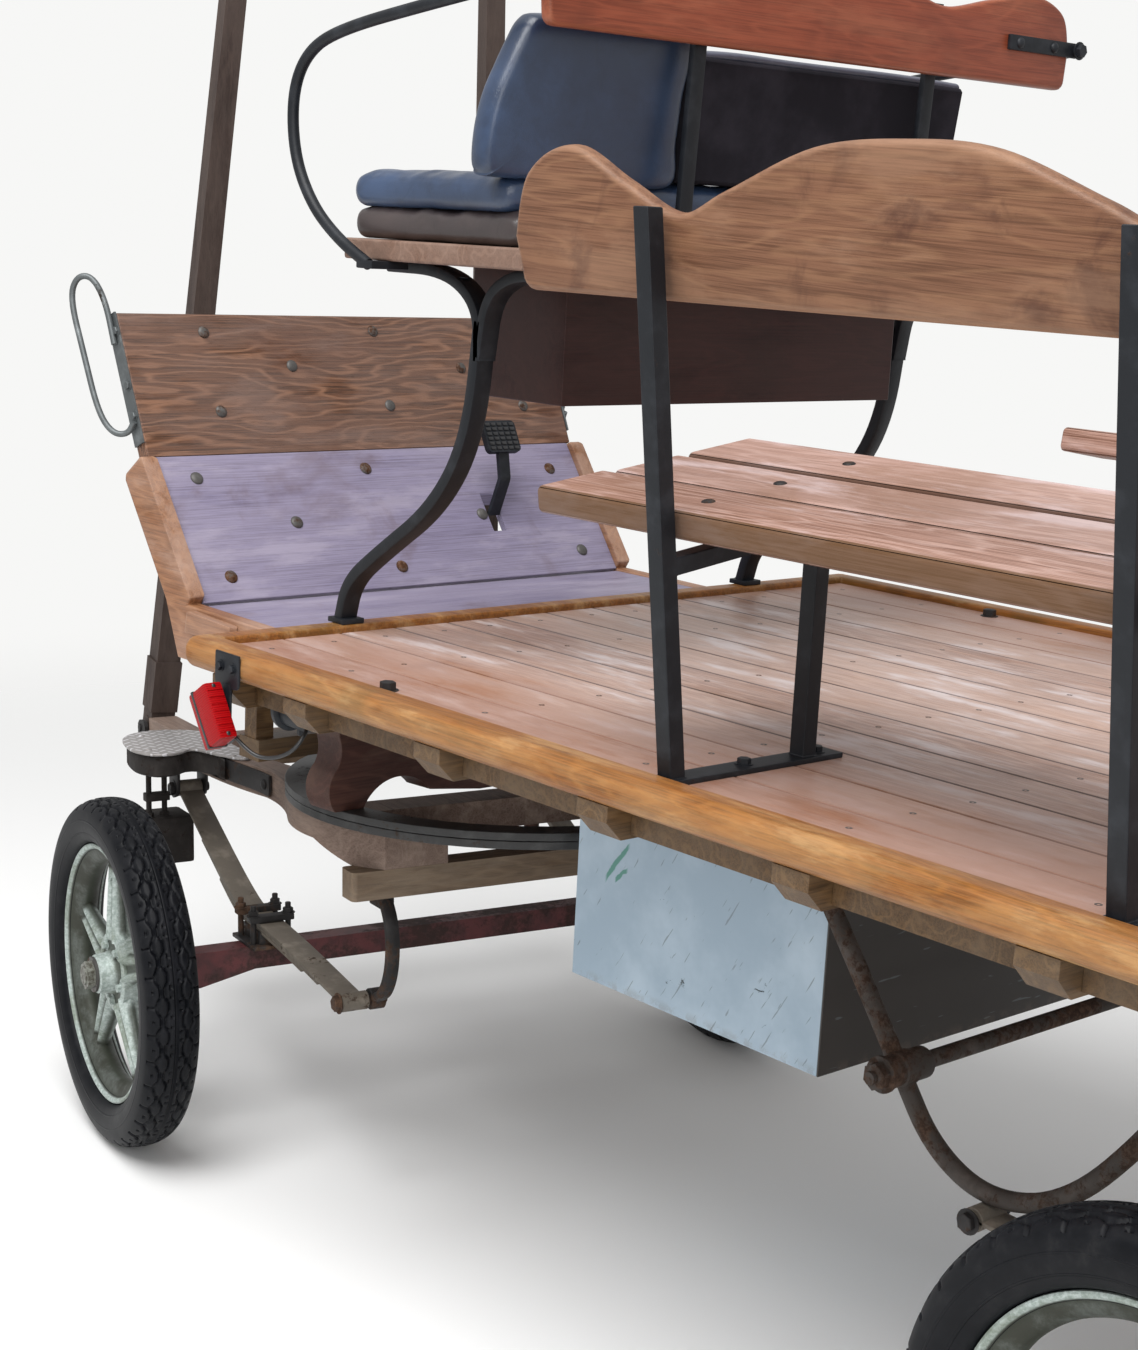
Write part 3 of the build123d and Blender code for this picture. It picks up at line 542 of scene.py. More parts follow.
def paintedBoxFinish():
    f = Finish("tool_box_paint", "deck")
    x, y, z = f.axes()
    broad, chips = f.noise(5, 5, 0.6), f.noise(22, 8, 0.78, warp=0.8)
    scratch = f.noise(1.0, 2, 0.5, f.vector(x * 0.012, (y - z * 0.6) * 0.14, (z + y * 0.4) * 0.016))
    # the rear face: painted shade
    rearShade = f.step(y, toolBox["rear"], toolBox["rear"] + 2)
    tone = f.mix(colour(148, 168, 184), colour(174, 192, 206), f.step(broad, 0.35, 0.7))
    tone = f.mix(tone, colour(44, 38, 34), rearShade)
    tone = f.mix(tone, colour(96, 104, 106), (1 - f.step(scratch, 0.30, 0.33)) * 0.6)
    chip = f.step(chips, 0.665, 0.685)
    tone = f.mix(tone, colour(46, 52, 50), chip)
    ragged = f.noise(40, 3, 0.6) * 16 - 8
    green = []
    for (atY, atZ), slope, width, start, end in toolBox["strokes"]:
        stroke = f.absolute((z - atZ) - (y - atY) * slope + ragged)
        green.append((1 - f.step(stroke, *width)) * f.step(y, *start) * (1 - f.step(y, *end)) * f.step(x, 300, 310))
    tone = f.mix(tone, colour(28, 120, 96), f.most(*green) * (1 - rearShade) * 0.8)
    lowRust = (1 - f.step(z, -478, -462)) * f.step(f.noise(40, 5, 0.7), 0.45, 0.6)
    tone = f.mix(tone, colour(96, 84, 72), lowRust * 0.3)
    return f.finish(tone, 0.42 + chip * 0.4 + broad * 0.15, (1 - chip) * 0.8 + broad * 0.4, 0.4, coat=0.1)


def plateFinish():
    # chequered plate: short bars in two directions
    f = Finish("chequer_plate", "fore")
    x, y, z = f.axes()
    a, b = (x + y) / 30.0, (x - y) / 30.0
    other = f.step(f.fraction((f.floor(a) + f.floor(b)) * 0.5), 0.2, 0.3)
    u, v = f.absolute(f.fraction(a) - 0.5), f.absolute(f.fraction(b) - 0.5)
    barOne = (1 - f.step(u, 0.10, 0.16)) * (1 - f.step(v, 0.38, 0.44))
    barTwo = (1 - f.step(v, 0.10, 0.16)) * (1 - f.step(u, 0.38, 0.44))
    bars = barOne * other + barTwo * (1 - other)
    grime = f.noise(24, 6, 0.7)
    tone = f.mix(colour(160, 156, 154), colour(214, 212, 214), bars)
    tone = f.mix(tone, colour(120, 112, 104), f.step(grime, 0.52, 0.74) * 0.45)
    return f.finish(tone, 0.38 + grime * 0.3, bars + grime * 0.15, 1.3, metallic=0.45)


def lampFinish():
    f = Finish("lamp_lens")
    x, y, z = f.axes()
    ribs, scuffs = f.absolute(f.sine(z * 0.9)), f.noise(60, 5, 0.7)
    tone = f.mix(colour(132, 3, 8), colour(172, 12, 18), ribs * 0.6)
    tone = f.mix(tone, colour(244, 214, 210), 1 - f.step(y, -24, -20))
    return f.finish(tone, 0.2 + scuffs * 0.2, ribs, 0.4, specular=0.18)


print("finishes")
black = ironFinish("black_iron", colour(20, 23, 28), colour(66, 48, 40), 0.08, rough=0.42)
blackFore = ironFinish("black_fittings", colour(32, 30, 30), colour(92, 68, 52), 0.35, 0.5, 0.6)
rusty = ironFinish("rusty_iron", colour(60, 54, 50), colour(86, 66, 54), 0.45, 0.62, 0.9)
springIron = ironFinish("spring_iron", colour(100, 93, 84), colour(92, 74, 60), 0.18, 0.55, 0.4)
ringIron = ironFinish("ring_iron", colour(58, 58, 58), colour(92, 72, 56), 0.25, 0.4, 0.4, 0.3)
zinc = ironFinish("zinc_wire", colour(96, 100, 101), colour(76, 68, 60), 0.15, 0.42, 0.2, 0.5)
bright = ironFinish("bright_steel", colour(160, 164, 166), colour(120, 96, 76), 0.08, 0.3, 0.2, 0.85)
boltIron = ironFinish("bolt_iron", colour(84, 82, 80), colour(104, 70, 48), 0.4, 0.45, 0.4, 0.4)
rubberBlock = ironFinish("step_block", colour(40, 36, 34), colour(66, 50, 42), 0.3, 0.75, 0.8)
plastic = vinylFinish("black_plastic", (0.012, 0.012, 0.013), (0.02, 0.02, 0.022), relief=0.1, rough=0.3, scale=2)
blueVinyl = vinylFinish("blue_vinyl", colour(35, 49, 72), colour(60, 82, 116), rough=0.24)
brownVinyl = vinylFinish("brown_vinyl", colour(50, 42, 42), colour(76, 64, 62))
tyreRubber = tyreFinish()
castMetal = castFinish()
chequered = plateFinish()

deck = {"joists": (105, 300, 620, 960, 1300, 1645, 1985, 2250), "planks": 13, "field": 1430}
plankPitch = deck["field"] / deck["planks"]
finishes = {
    # the deck's worn colour is a cool pale grey: wear, and a painted reflection of the bright surroundings
    "deck_planks": woodFinish(
        "deck_wood", "y",
        dark=colour(104, 68, 50), mid=colour(164, 123, 102), light=colour(202, 170, 152),
        stain=colour(122, 88, 72), worn=colour(208, 198, 198), pitch=plankPitch, start=deck["field"] / 2,
        dirt=colour(24, 17, 15), warm=(340, 600, colour(142, 88, 52)), wear=0.8, stains=0.6, stainScale=2.2,
        figure=0.35, boardVary=0.5, relief=0.4, coat=0.2, edge=0.2),
    "deck_rail": woodFinish(
        "rail_wood", "y",
        dark=colour(82, 48, 18), mid=colour(130, 78, 34), light=colour(164, 108, 50),
        stain=colour(96, 70, 28), worn=colour(200, 164, 116), wear=0.35, stains=0.6, wearScale=9, figure=0.35,
        relief=0.5, coat=0.15, edge=0.35),
    "underframe": woodFinish("frame_wood", "x",
        dark=colour(44, 31, 22), mid=colour(90, 67, 44), light=colour(126, 98, 66),
        stain=colour(46, 31, 22), worn=colour(110, 96, 80), relief=0.4, edge=0.3),
    "dashboard": woodFinish(
        "dash_wood", "x",
        dark=colour(28, 18, 13), mid=colour(98, 65, 46), light=colour(150, 110, 86),
        stain=colour(80, 44, 26), worn=colour(118, 98, 90), wear=0.5, rings=0.3, figure=0.65, pores=0.9,
        split=170, relief=0.8, coat=0.05, edge=0.4),
    "toe_board": woodFinish(
        "toe_board_paint", "x",
        dark=colour(90, 82, 100), mid=colour(124, 117, 142), light=colour(144, 137, 162),
        stain=colour(90, 72, 80), worn=colour(164, 156, 172), wear=0.5, stains=0.65, figure=0.12, pores=0.4,
        relief=0.3, edge=0.3, stainScale=4.5),
    "cheeks": woodFinish("cheek_wood", "y",
        dark=colour(84, 50, 30), mid=colour(132, 86, 56), light=colour(166, 120, 86),
        stain=colour(98, 66, 46), worn=colour(184, 156, 140), relief=0.4, edge=0.4),
    "seat_board": woodFinish("seat_board_wood", "x",
        dark=colour(70, 48, 38), mid=colour(108, 80, 66), light=colour(140, 112, 96),
        stain=colour(72, 48, 36), worn=colour(144, 122, 110), relief=0.3, edge=0.4),
    "seat_box": woodFinish(
        "seat_box_wood", "x",
        dark=colour(30, 12, 11), mid=colour(48, 22, 20), light=colour(62, 32, 29),
        stain=colour(30, 14, 13), worn=colour(64, 42, 38), wear=0.2, relief=0.2, coat=0.1, edge=0.4),
    "upper_board": woodFinish(
        "upper_board_wood", "x",
        dark=colour(96, 40, 24), mid=colour(132, 62, 40), light=colour(156, 82, 56),
        stain=colour(84, 36, 24), worn=colour(168, 110, 82), wear=0.2, stains=0.3, figure=0.35,
        relief=0.15, coat=0.25, edge=0.4),
    "bench_seats": woodFinish(
        "seat_plank_wood", "y",
        dark=colour(112, 78, 62), mid=colour(168, 132, 118), light=colour(198, 168, 158),
        stain=colour(138, 102, 80), worn=colour(206, 188, 188), pitch=126, start=-349 + 126,
        dirt=colour(84, 56, 40), wear=0.6, stains=0.45, figure=0.4, relief=0.2, outside=(716.5, colour(88, 62, 36))),
    "bench_boards": woodFinish(
        "bench_board_wood", "y",
        dark=colour(82, 52, 36), mid=colour(116, 80, 60), light=colour(146, 108, 80),
        stain=colour(66, 38, 30), worn=colour(156, 122, 98), wear=0.3, stains=0.75, stainScale=8,
        figure=0.3, boardVary=0.1, relief=0.2, edge=0.8),
    "bolster": woodFinish(
        "bolster_wood", "x", site="ground",
        dark=colour(36, 20, 18), mid=colour(62, 37, 33), light=colour(92, 60, 52),
        stain=colour(38, 23, 20), worn=colour(98, 76, 66), relief=0.4, edge=0.4),
    "futchels": woodFinish(
        "futchel_wood", "y", site="fore",
        dark=colour(68, 52, 44), mid=colour(112, 92, 82), light=colour(144, 124, 112),
        stain=colour(72, 52, 40), worn=colour(156, 138, 126), wear=0.5, figure=0.3, relief=0.6,
        matt=0.2, edge=0.5),
    "cross_beams": woodFinish(
        "cross_beam_wood", "x", site="fore",
        dark=colour(54, 40, 30), mid=colour(92, 72, 54), light=colour(134, 112, 90),
        stain=colour(54, 41, 32), worn=colour(142, 128, 112), figure=0.4, relief=0.6, matt=0.2,
        edge=0.5),
    "shaft_left": woodFinish(
        "shaft_wood", "z", site="fore",
        dark=colour(30, 23, 21), mid=colour(52, 41, 38), light=colour(78, 64, 58),
        stain=colour(32, 24, 21), worn=colour(90, 78, 72), figure=0.3, relief=0.5, matt=0.15,
        edge=0.4),
    "backrest_right": feltFinish(), "tool_box": paintedBoxFinish(), "lamps": lampFinish(),
    "brake_pedal": black, "seat_brackets": black, "seat_irons": black, "bench_irons": black, "rear_bows": rusty,
    "rear_springs": springIron, "front_springs": springIron, "upper_ring": ringIron, "lower_ring": ringIron,
    "rear_axle": axleFinish("axle_rear", "ground"), "front_axle": axleFinish("axle_front", "fore"),
    "shaft_irons": blackFore, "steps": rubberBlock, "lamp_irons": plastic, "grab_handles": bright,
    "seat_cushion_lower": brownVinyl, "seat_cushion_upper": blueVinyl, "backrest_left": blueVinyl,
}
finishes["tool_box_door"] = finishes["tool_box"]
finishes["shaft_right"] = finishes["shaft_left"]
edgeWidths = {  # millimetres, where a node's edges are softened
    7: "deck_rail bench_boards", 6: "cross_beams bolster shaft_left shaft_right",
    5: "dashboard upper_board bench_seats futchels", 4: "cheeks seat_board underframe",
    3: "seat_brackets front_axle rear_axle steps backrest_right", 2.5: "seat_box",
    2: "bench_irons toe_board brake_pedal", 1.5: "upper_ring lower_ring lamp_irons shaft_irons",
    1.2: "front_springs rear_springs tool_box", 0.6: "tool_box_door deck_planks",
}
widthOf = {nodeName: width for width, names in edgeWidths.items() for nodeName in names.split()}
for nodeName, obj in cadNodes.items():
    obj.data.materials.clear()
    obj.data.materials.append(finishes.get(nodeName, tyreRubber if nodeName.startswith("tyre") else castMetal))
    weld = obj.modifiers.new("weld", "WELD")
    weld.merge_threshold = 0.00002
    if nodeName in widthOf:
        addBevel(obj, widthOf[nodeName])
    normals = obj.modifiers.new("normals", "WEIGHTED_NORMAL")
    normals.keep_sharp = False
    for face in obj.data.polygons:
        face.use_smooth = True

# tyres: a rubber crown with long linked hexagons between zigzag grooves
tyre = {
    "around": 640,
    "grooveDepth": 5.0,
    "grooveHalf": 2.3,
    "pitchCount": 38,  # tread repeats round the tyre
    "zigzags": (15.5, 29.0),  # from the middle, swinging apart and together
    "swing": 3.4,
    "cutEnd": 47,
    "holes": ((0.0, 38.0), (0.16, 8.0), (-0.16, 8.0)),  # share of a pitch, distance from the middle
    "crown": [(27.4, 229.2), (27.6, 242.2), (33, 243.4), (42, 249), (49, 263), (52.3, 281), (50, 299), (45.5, 309),
              (37, 316.6), (25, 321.8), (12, 324.3), (0, 324.9)],
}
hubHeight = 0.325
wheelSpots = {
    "front_left": forePlace @ move(0.668, -0.366, hubHeight),
    "front_right": forePlace @ move(-0.668, -0.366, hubHeight) @ turn("Z", 180),
    "rear_left": groundPlace @ move(0.668, 1.813, hubHeight),
    "rear_right": groundPlace @ move(-0.668, 1.813, hubHeight) @ turn("Z", 180),
}


def zigzag(share):
    # a flat-topped zigzag between -1 and 1
    wave = 4 * abs(share % 1.0 - 0.5) - 1
    return max(-1.0, min(1.0, wave * 2.2))


def grooveDepthAt(across, share):
    # the two halves of the tread are half a pitch apart
    share += 0.0 if across >= 0 else 0.5
    half, (inner, outer) = tyre["grooveHalf"], tyre["zigzags"]
    swing = tyre["swing"] * zigzag(share)
    a = abs(across)
    nearest = min(a, abs(a - (inner + swing)), abs(a - (outer - swing)))
    pitch = 2 * math.pi * 322 / tyre["pitchCount"]
    if outer < a < tyre["cutEnd"]:
        nearest = min(nearest, abs((share % 1.0 - 0.5) * pitch) * 1.1)
    for spot, level in tyre["holes"]:
        hole = math.hypot(((share - spot + 0.5) % 1.0 - 0.5) * pitch, a - level)
        if hole < 2.4:
            nearest = min(nearest, max(0.0, hole - 0.6))
    t = min(1.0, max(0.0, (nearest - half * 0.55) / (half * 0.9)))
    return tyre["grooveDepth"] * (1 - t * t * (3 - 2 * t))


def makeTyre(corner):
    crown = [Vector((a, r, 0)) for a, r in tyre["crown"]]
    half = catmullRom(crown[:1] + crown + crown[-1:], 5) + crown[-1:]
    section = mirrored([(p.x, p.y) for p in half])
    fine = []
    for (a0, r0), (a1, r1) in zip(section, section[1:]):
        pieces = max(1, round(math.hypot(a1 - a0, r1 - r0) / 1.9)) if min(r0, r1) > 296 else 1
        fine += [(a0 + (a1 - a0) * k / pieces, r0 + (r1 - r0) * k / pieces) for k in range(pieces)]
    fine.append(section[-1])
    bm = bmesh.new()
    rings = []
    for k in range(tyre["around"]):
        angle = 2 * math.pi * k / tyre["around"]
        share = k * tyre["pitchCount"] / tyre["around"]
        c, s = math.cos(angle), math.sin(angle)
        ring = []
        for a, r in fine:
            depth = grooveDepthAt(a, share) if r > 303 else 0
            ring.append(bm.verts.new((a * (1 - depth * 0.002), (r - depth) * c, (r - depth) * s)))
        rings.append(ring)
    joinRings(bm, rings, around=True)
    finishPiece("tyre_" + corner + "_tread", bm, tyreRubber, "tyre_" + corner, sharp=60,
                place=wheelSpots[corner], body="wheel_" + corner)


# cast wheels: deep rim, five ribbed spokes, hub flange with bolts
wheel = {
    "rimHalf": [(-27.3, 240.6), (-31, 241.6), (-34.4, 241), (-35.6, 238), (-34, 234), (-30, 231.5), (-26, 229),
                (-22, 222), (-17, 212), (-9, 205.5), (0, 204)],
    "well": [(27.2, 232.5), (22, 229), (-22, 229), (-27.2, 232.5)],
    "hub": [(-48, 17.2), (-48, 33), (-45, 36), (-20, 37), (-17, 40), (-16, 70), (-14, 74), (14, 74), (16, 70),
            (16.5, 62), (13, 58), (13, 45), (17, 41), (24, 38), (45, 36), (48, 33), (48, 17.2)],
    "spokes": 5,
    "spokeFrom": 60,
    "spokeLong": 150,
    "spokeWide": (58, 36),
    "spokeThick": (46, 30),
    "boltCircle": 54,
}


def addSpoke(bm, place):
    steps, sides = 14, 48
    rings = []
    for k in range(steps + 1):
        t = k / steps
        wide, thick = (ends[0] * (1 - t) + ends[1] * t for ends in (wheel["spokeWide"], wheel["spokeThick"]))
        wide *= 1 + 0.25 * max(0, t - 0.86) / 0.14 + 0.15 * max(0, 0.12 - t) / 0.12
        ring = []
        for i in range(sides):
            angle = 2 * math.pi * i / sides
            u = math.copysign(abs(math.cos(angle)) ** 0.75, math.cos(angle))
            v = math.copysign(abs(math.sin(angle)) ** 0.8, math.sin(angle))
            hollow = 0.62 - 0.62 * math.exp(-((abs(u) - 0.6) / 0.24) ** 2)
            spot = Vector((v * thick / 2 * (1 - hollow), u * wide / 2, wheel["spokeFrom"] + wheel["spokeLong"] * t))
            ring.append(bm.verts.new(place @ spot))
        rings.append(ring)
    joinRings(bm, rings)
    capRings(bm, rings)


def makeWheel(corner):
    bm = bmesh.new()
    addLathe(bm, mirrored(wheel["rimHalf"]) + wheel["well"], 144, closed=True)
    addLathe(bm, wheel["hub"], 64, closed=True)
    share = 2 * math.pi / wheel["spokes"]
    for k in range(wheel["spokes"]):
        addSpoke(bm, Matrix.Rotation(share * k, 4, "X"))
    for k in range(wheel["spokes"]):
        angle, out = share * (k + 0.5), wheel["boltCircle"]
        spot = turn("X", 90) @ Vector((14, out * math.cos(angle), out * math.sin(angle)))
        addHexBolt(bm, spot, (1, 0, 0), 8, 8)
    # valve stem through the rim's well
    addTube(bm, [(6, 0, 207), (7, 0, 190), (16, 0, 176)], 3.6, 10)
    finishPiece("wheel_" + corner + "_cast", bm, castMetal, "wheel_" + corner, sharp=38,
                place=wheelSpots[corner], body="wheel_" + corner)
    bm = bmesh.new()
    addLathe(bm, [(48.5, 33), (53, 33), (53.4, axisTip)], 32)
    finishPiece("wheel_" + corner + "_washer", bm, boltIron, place=wheelSpots[corner],
                body="wheel_" + corner)


for corner in wheelSpots:
    makeTyre(corner)
    makeWheel(corner)
print("tyres and wheels")

# soft pieces: seat cushions and the padded backrest
soft = {
    "voxel": 0.006,
    "frames": 20,
    "pressure": 4.0,
    "cap": 0.008,  # no point swells further than this
    "mostTriangles": 70000,
}
cushions = {
    "lower": {"half": 556, "deep": 206, "thick": 43, "corner": 26, "crown": 0.05, "place": (0, 0.323, 0.6545),
              "vinyl": brownVinyl, "wrinkle": 4.0, "flatBelow": -22.5, "fill": 0.5},
    "upper": {"half": 560, "deep": 196, "thick": 45, "corner": 30, "crown": 0.12, "place": (0, 0.311, 0.7035),
              "vinyl": blueVinyl, "wrinkle": 2.5, "flatBelow": -24.5, "fill": 0.75},
}


def crownedPad(half, deep, thick, corner, crown):
    # a closed pad, rounded in plan and crowned above: half widths in x and y
    bm = bmesh.new()
    columns, rows = 56, 24
    inX, inY = half - corner, deep - corner
    for side in (1, -1):
        grid = []
        for i in range(columns + 1):
            line = []
            for j in range(rows + 1):
                u, v = (math.sin((2 * a / b - 1) * math.pi / 2) for a, b in ((i, columns), (j, rows)))
                x, y = u * half, v * deep
                dx, dy = abs(x) - inX, abs(y) - inY
                if dx > 0 and dy > 0:
                    ratio = max(dx, dy) / math.hypot(dx, dy)
                    x, y = math.copysign(inX + dx * ratio, x), math.copysign(inY + dy * ratio, y)
                border = min(1.0, min(half - abs(u * half), deep - abs(v * deep)) / (thick * 0.42))
                rise = 1 + crown * (1 - u * u) * (1 - v * v) if side > 0 else 1
                z = side * thick / 2 * max(0.0, 1 - (1 - border) ** 2.8) ** 0.42 * rise
                line.append(bm.verts.new((x, y, z)))
            grid.append(line)
        for i in range(columns):
            for j in range(rows):
                quad = (grid[i][j], grid[i + 1][j], grid[i + 1][j + 1], grid[i][j + 1])
                bm.faces.new(quad if side > 0 else quad[::-1])
    bmesh.ops.remove_doubles(bm, verts=bm.verts, dist=0.05)
    return bm


def meshNow(obj):
    depsgraph = bpy.context.evaluated_depsgraph_get()
    return bpy.data.meshes.new_from_object(obj.evaluated_get(depsgraph))


def swell(obj):
    # cloth under pressure, then no point moves further than the cap
    bpy.context.view_layer.objects.active = obj
    remesh = obj.modifiers.new("remesh", "REMESH")
    remesh.mode = "VOXEL"
    remesh.voxel_size = soft["voxel"]
    base = meshNow(obj)
    obj.modifiers.remove(remesh)
    look = obj.data.materials[0]
    obj.data = base
    base.materials.clear()
    base.materials.append(look)
    start = [v.co.copy() for v in base.vertices]
    cloth = obj.modifiers.new("cloth", "CLOTH")
    cloth.settings.use_pressure = True
    cloth.settings.uniform_pressure_force = soft["pressure"]
    cloth.settings.effector_weights.gravity = 0
    cloth.settings.tension_stiffness = 8
    cloth.settings.bending_stiffness = 0.4
    cloth.point_cache.frame_start, cloth.point_cache.frame_end = 1, soft["frames"]
    for moment in range(1, soft["frames"] + 1):
        bpy.context.scene.frame_set(moment)
    swollen = meshNow(obj)
    obj.modifiers.remove(cloth)
    for vertex, before, after in zip(base.vertices, start, swollen.vertices):
        shift = after.co - before
        if shift.length > soft["cap"]:
            shift *= soft["cap"] / shift.length
        vertex.co = before + shift
    bpy.context.scene.frame_set(1)


for level, pad in cushions.items():
    place = deckPlace @ Matrix.Translation(pad["place"])
    bm = crownedPad(pad["half"], pad["deep"], pad["thick"], pad["corner"], pad["crown"])
    obj = finishPiece("seat_pad_" + level, bm, pad["vinyl"], "seat_cushion_" + level, sharp=180, place=place)
    obj.parent = None
    obj.matrix_world = place
    swell(obj)
    for vertex in obj.data.vertices:
        p = vertex.co * 1000
        ripple = noise.noise(Vector((p.x * 0.012, p.y * 0.03, 3.1)))
        ripple += 0.5 * noise.noise(Vector((p.x * 0.035, p.y * 0.05, 9.7)))
        vertex.co.z += 0.001 * pad["wrinkle"] * ripple * min(1.0, max(0.0, (p.z + 6) / 12))
        vertex.co.z = max(vertex.co.z, pad["flatBelow"] / 1000)
    for face in obj.data.polygons:
        face.use_smooth = True
    subdivide(obj)
    # a subdivided quad is eight triangles
    count = 8 * len(obj.data.polygons)
    if count > soft["mostTriangles"]:
        obj.modifiers.new("thin", "DECIMATE").ratio = soft["mostTriangles"] / count
    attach(obj, "carriage")

# the padded back: its outline (x, z), crowned on both faces
backPad = {
    "outline": [(240, 726), (400, 725), (572, 725), (592, 730), (599, 752), (599, 795), (591, 838), (576, 876),
                (560, 912), (544, 940), (516, 950), (400, 951), (240, 950), (236, 860), (236, 790)],
    "thick": 50,
    "levels": [(1.0, 0.0), (0.985, 0.55), (0.95, 0.86), (0.85, 1.0), (0.6, 1.05), (0.3, 1.09), (0.02, 1.1)],
}
points = [Vector((x, 0, z)) for x, z in backPad["outline"]]
line = catmullRom(points[-1:] + points + points[:2], 5)
middle = sum(line, Vector()) / len(line)
bm = bmesh.new()
seam = [bm.verts.new(p) for p in line]
for side in (1, -1):
    rings = [seam]
    for share, level in backPad["levels"][1:]:
        out = Vector((0, side * level * backPad["thick"] / 2, 0))
        rings.append([bm.verts.new(middle + (p - middle) * share + out) for p in line])
    joinRings(bm, rings)
    bm.faces.new(rings[-1])
padPlace = deckPlace @ move(0, 0.483, 0.735) @ turn("X", -7) @ move(0, 0, -0.735)
backPiece = finishPiece("backrest_pad", bm, blueVinyl, "backrest_left", sharp=180, place=padPlace,
                        smooth=True)
print("cushions")

# scalloped boards: the benches' backs and the driver's upper board; crest from the end to the middle
boards = {
    "bench": {"half": 612, "low": 584, "corner": 22, "thick": 26, "rounding": 9,
              "crest": [(-622, 650), (-591, 729), (-510, 760), (-418, 720), (-331, 685), (-253, 712), (-122, 759),
                        (0, 768)]},
    "upper": {"half": 566, "low": 925, "corner": 16, "thick": 22, "rounding": 7,
              "crest": [(-570, 985), (-548, 1045), (-470, 1068), (-370, 1052), (-250, 1030), (-150, 1052),
                        (0, 1078)]},
}
turnUp = turn("X", 90)
sideways = turn("Z", 90) @ turnUp  # a plate that stands across x, its outline in y and z


def addScalloped(bm, board, place):
    half, low, corner = board["half"], board["low"], board["corner"]
    crest = [Vector(p) for p in board["crest"]]
    ends = Vector((crest[0].x, crest[0].y - 40)), Vector((-crest[-2].x, crest[-2].y))
    left = [Vector((-half + corner - corner * s, low + corner - corner * c)) for s, c in quarter(4)]
    left += catmullRom([ends[0], *crest, ends[1]], 10)
    right = [Vector((-p.x, p.y)) for p in reversed(left)]
    addRoundedPlate(bm, left + [crest[-1]] + right, board["thick"], board["rounding"], place)


bm = bmesh.new()
for side in (1, -1):
    lean = move(side * 751, 1390, 676) @ turn("Y", 7.3 * side)
    addScalloped(bm, boards["bench"], lean @ turn("Z", 90) @ move(0, 0, -676) @ turnUp)
finishPiece("bench_back_boards", bm, finishes["bench_boards"], "bench_boards", sharp=60)
bm = bmesh.new()
addScalloped(bm, boards["upper"], move(0, 578, 0) @ turnUp)
finishPiece("driver_upper_board", bm, finishes["upper_board"], "upper_board", sharp=60)
print("boards")

# forked brackets under the driver's seat
brackets = {"x": 467, "width": 34, "thick": 22, "armThick": 18}
bm = bmesh.new()
bx = brackets["x"]
stem = bendLine([(bx, 22, 16), (bx, 40, 82), (bx, 120, 140), (bx, 262, 232), (bx, 340, 350), (bx, 357, 530)])
addBar(bm, stem[:-1] + [Vector((bx, 357, 520))], brackets["width"], brackets["thick"])
for arm in ([(357, 462), (352, 545), (270, 590.5), (130, 590.9)], [(357, 468), (370, 556), (430, 590.5), (500, 590.9)]):
    addBar(bm, bendLine([(bx, y, z) for y, z in arm]), brackets["width"], brackets["armThick"])
addBox(bm, (bx - 22, 4, 12.1), (bx + 22, 46, 21), 2)
mirrorMesh(bm)
finishPiece("forked_brackets", bm, black, "seat_brackets")

# posts, arm rods and end straps
irons = {"post": 255, "rod": 580, "rodRadius": 9}
bm = bmesh.new()
px, rx = irons["post"], irons["rod"]
addBar(bm, [(px, 542, 631.2), (px, 546, 730), (px, 560.8, 1035)], 26, 11.8)
addBox(bm, (px - 13, 526, 631.2), (px + 13, 558, 637.5), 1.5)
rodLine = [(215, 594), (135, 628), (62, 678), (12, 752), (4, 846), (46, 906), (136, 934), (340, 960), (600, 990)]
addTube(bm, bendLine([(rx, y, z) for y, z in rodLine]), irons["rodRadius"], 16)
addBox(bm, (520, 195, 588), (rx + 9, 235, 599.9), 2.5)
addBox(bm, (405, 589.2, 978), (rx + 4, 596, 1002), 1.8)
for x in (430, 520):
    addDome(bm, (x, 596, 990), (0, 1, 0), 9, 6)
addHexBolt(bm, (rx, 602, 990), (0, 1, 0), 11, 8)
mirrorMesh(bm)
finishPiece("seat_posts_and_rods", bm, black, "seat_irons")

# straps and wire handles at the dashboard's ends; its foot, and the runs up it and down the toe-board
dash = {"foot": (0, -545, 222), "run": (0, -117, 251), "toeRun": (0, 177, -240), "strapWide": 30, "wireX": 514.6}
dashFoot, dashRun, toeRun = (Vector(dash[k]) for k in ("foot", "run", "toeRun"))
dashNormal = Vector((0, dashRun.z, -dashRun.y)).normalized()
front = dashNormal * -dash["strapWide"]
bm = bmesh.new()
strap = [dashFoot + dashRun * 0.1, dashFoot + dashRun, dashFoot + dashRun + front, dashFoot + front + dashRun * 0.1]
faces = [[bm.verts.new((x, p.y, p.z)) for p in strap] for x in (505.1, 509.1)]
joinRings(bm, faces)
capRings(bm, faces)
hx = dash["wireX"]
wire = [(0, -650, 415), (0, -682, 490), (14, -706, 534), (34, -728, 532), (42, -737, 492), (41, -688, 396),
        (40, -638, 296), (26, -610, 258), (4, -592, 258), (0, -578, 282)]
addTube(bm, bendLine([(hx + x, y, z) for x, y, z in wire], 7), 5.6, 14)
for y, z in ((-641, 440), (-598, 345), (-575, 292)):
    addHexBolt(bm, (509.1, y - 10, z), (1, 0, 0), 7.5, 5)
mirrorMesh(bm)
finishPiece("dash_handles", bm, zinc, "grab_handles")

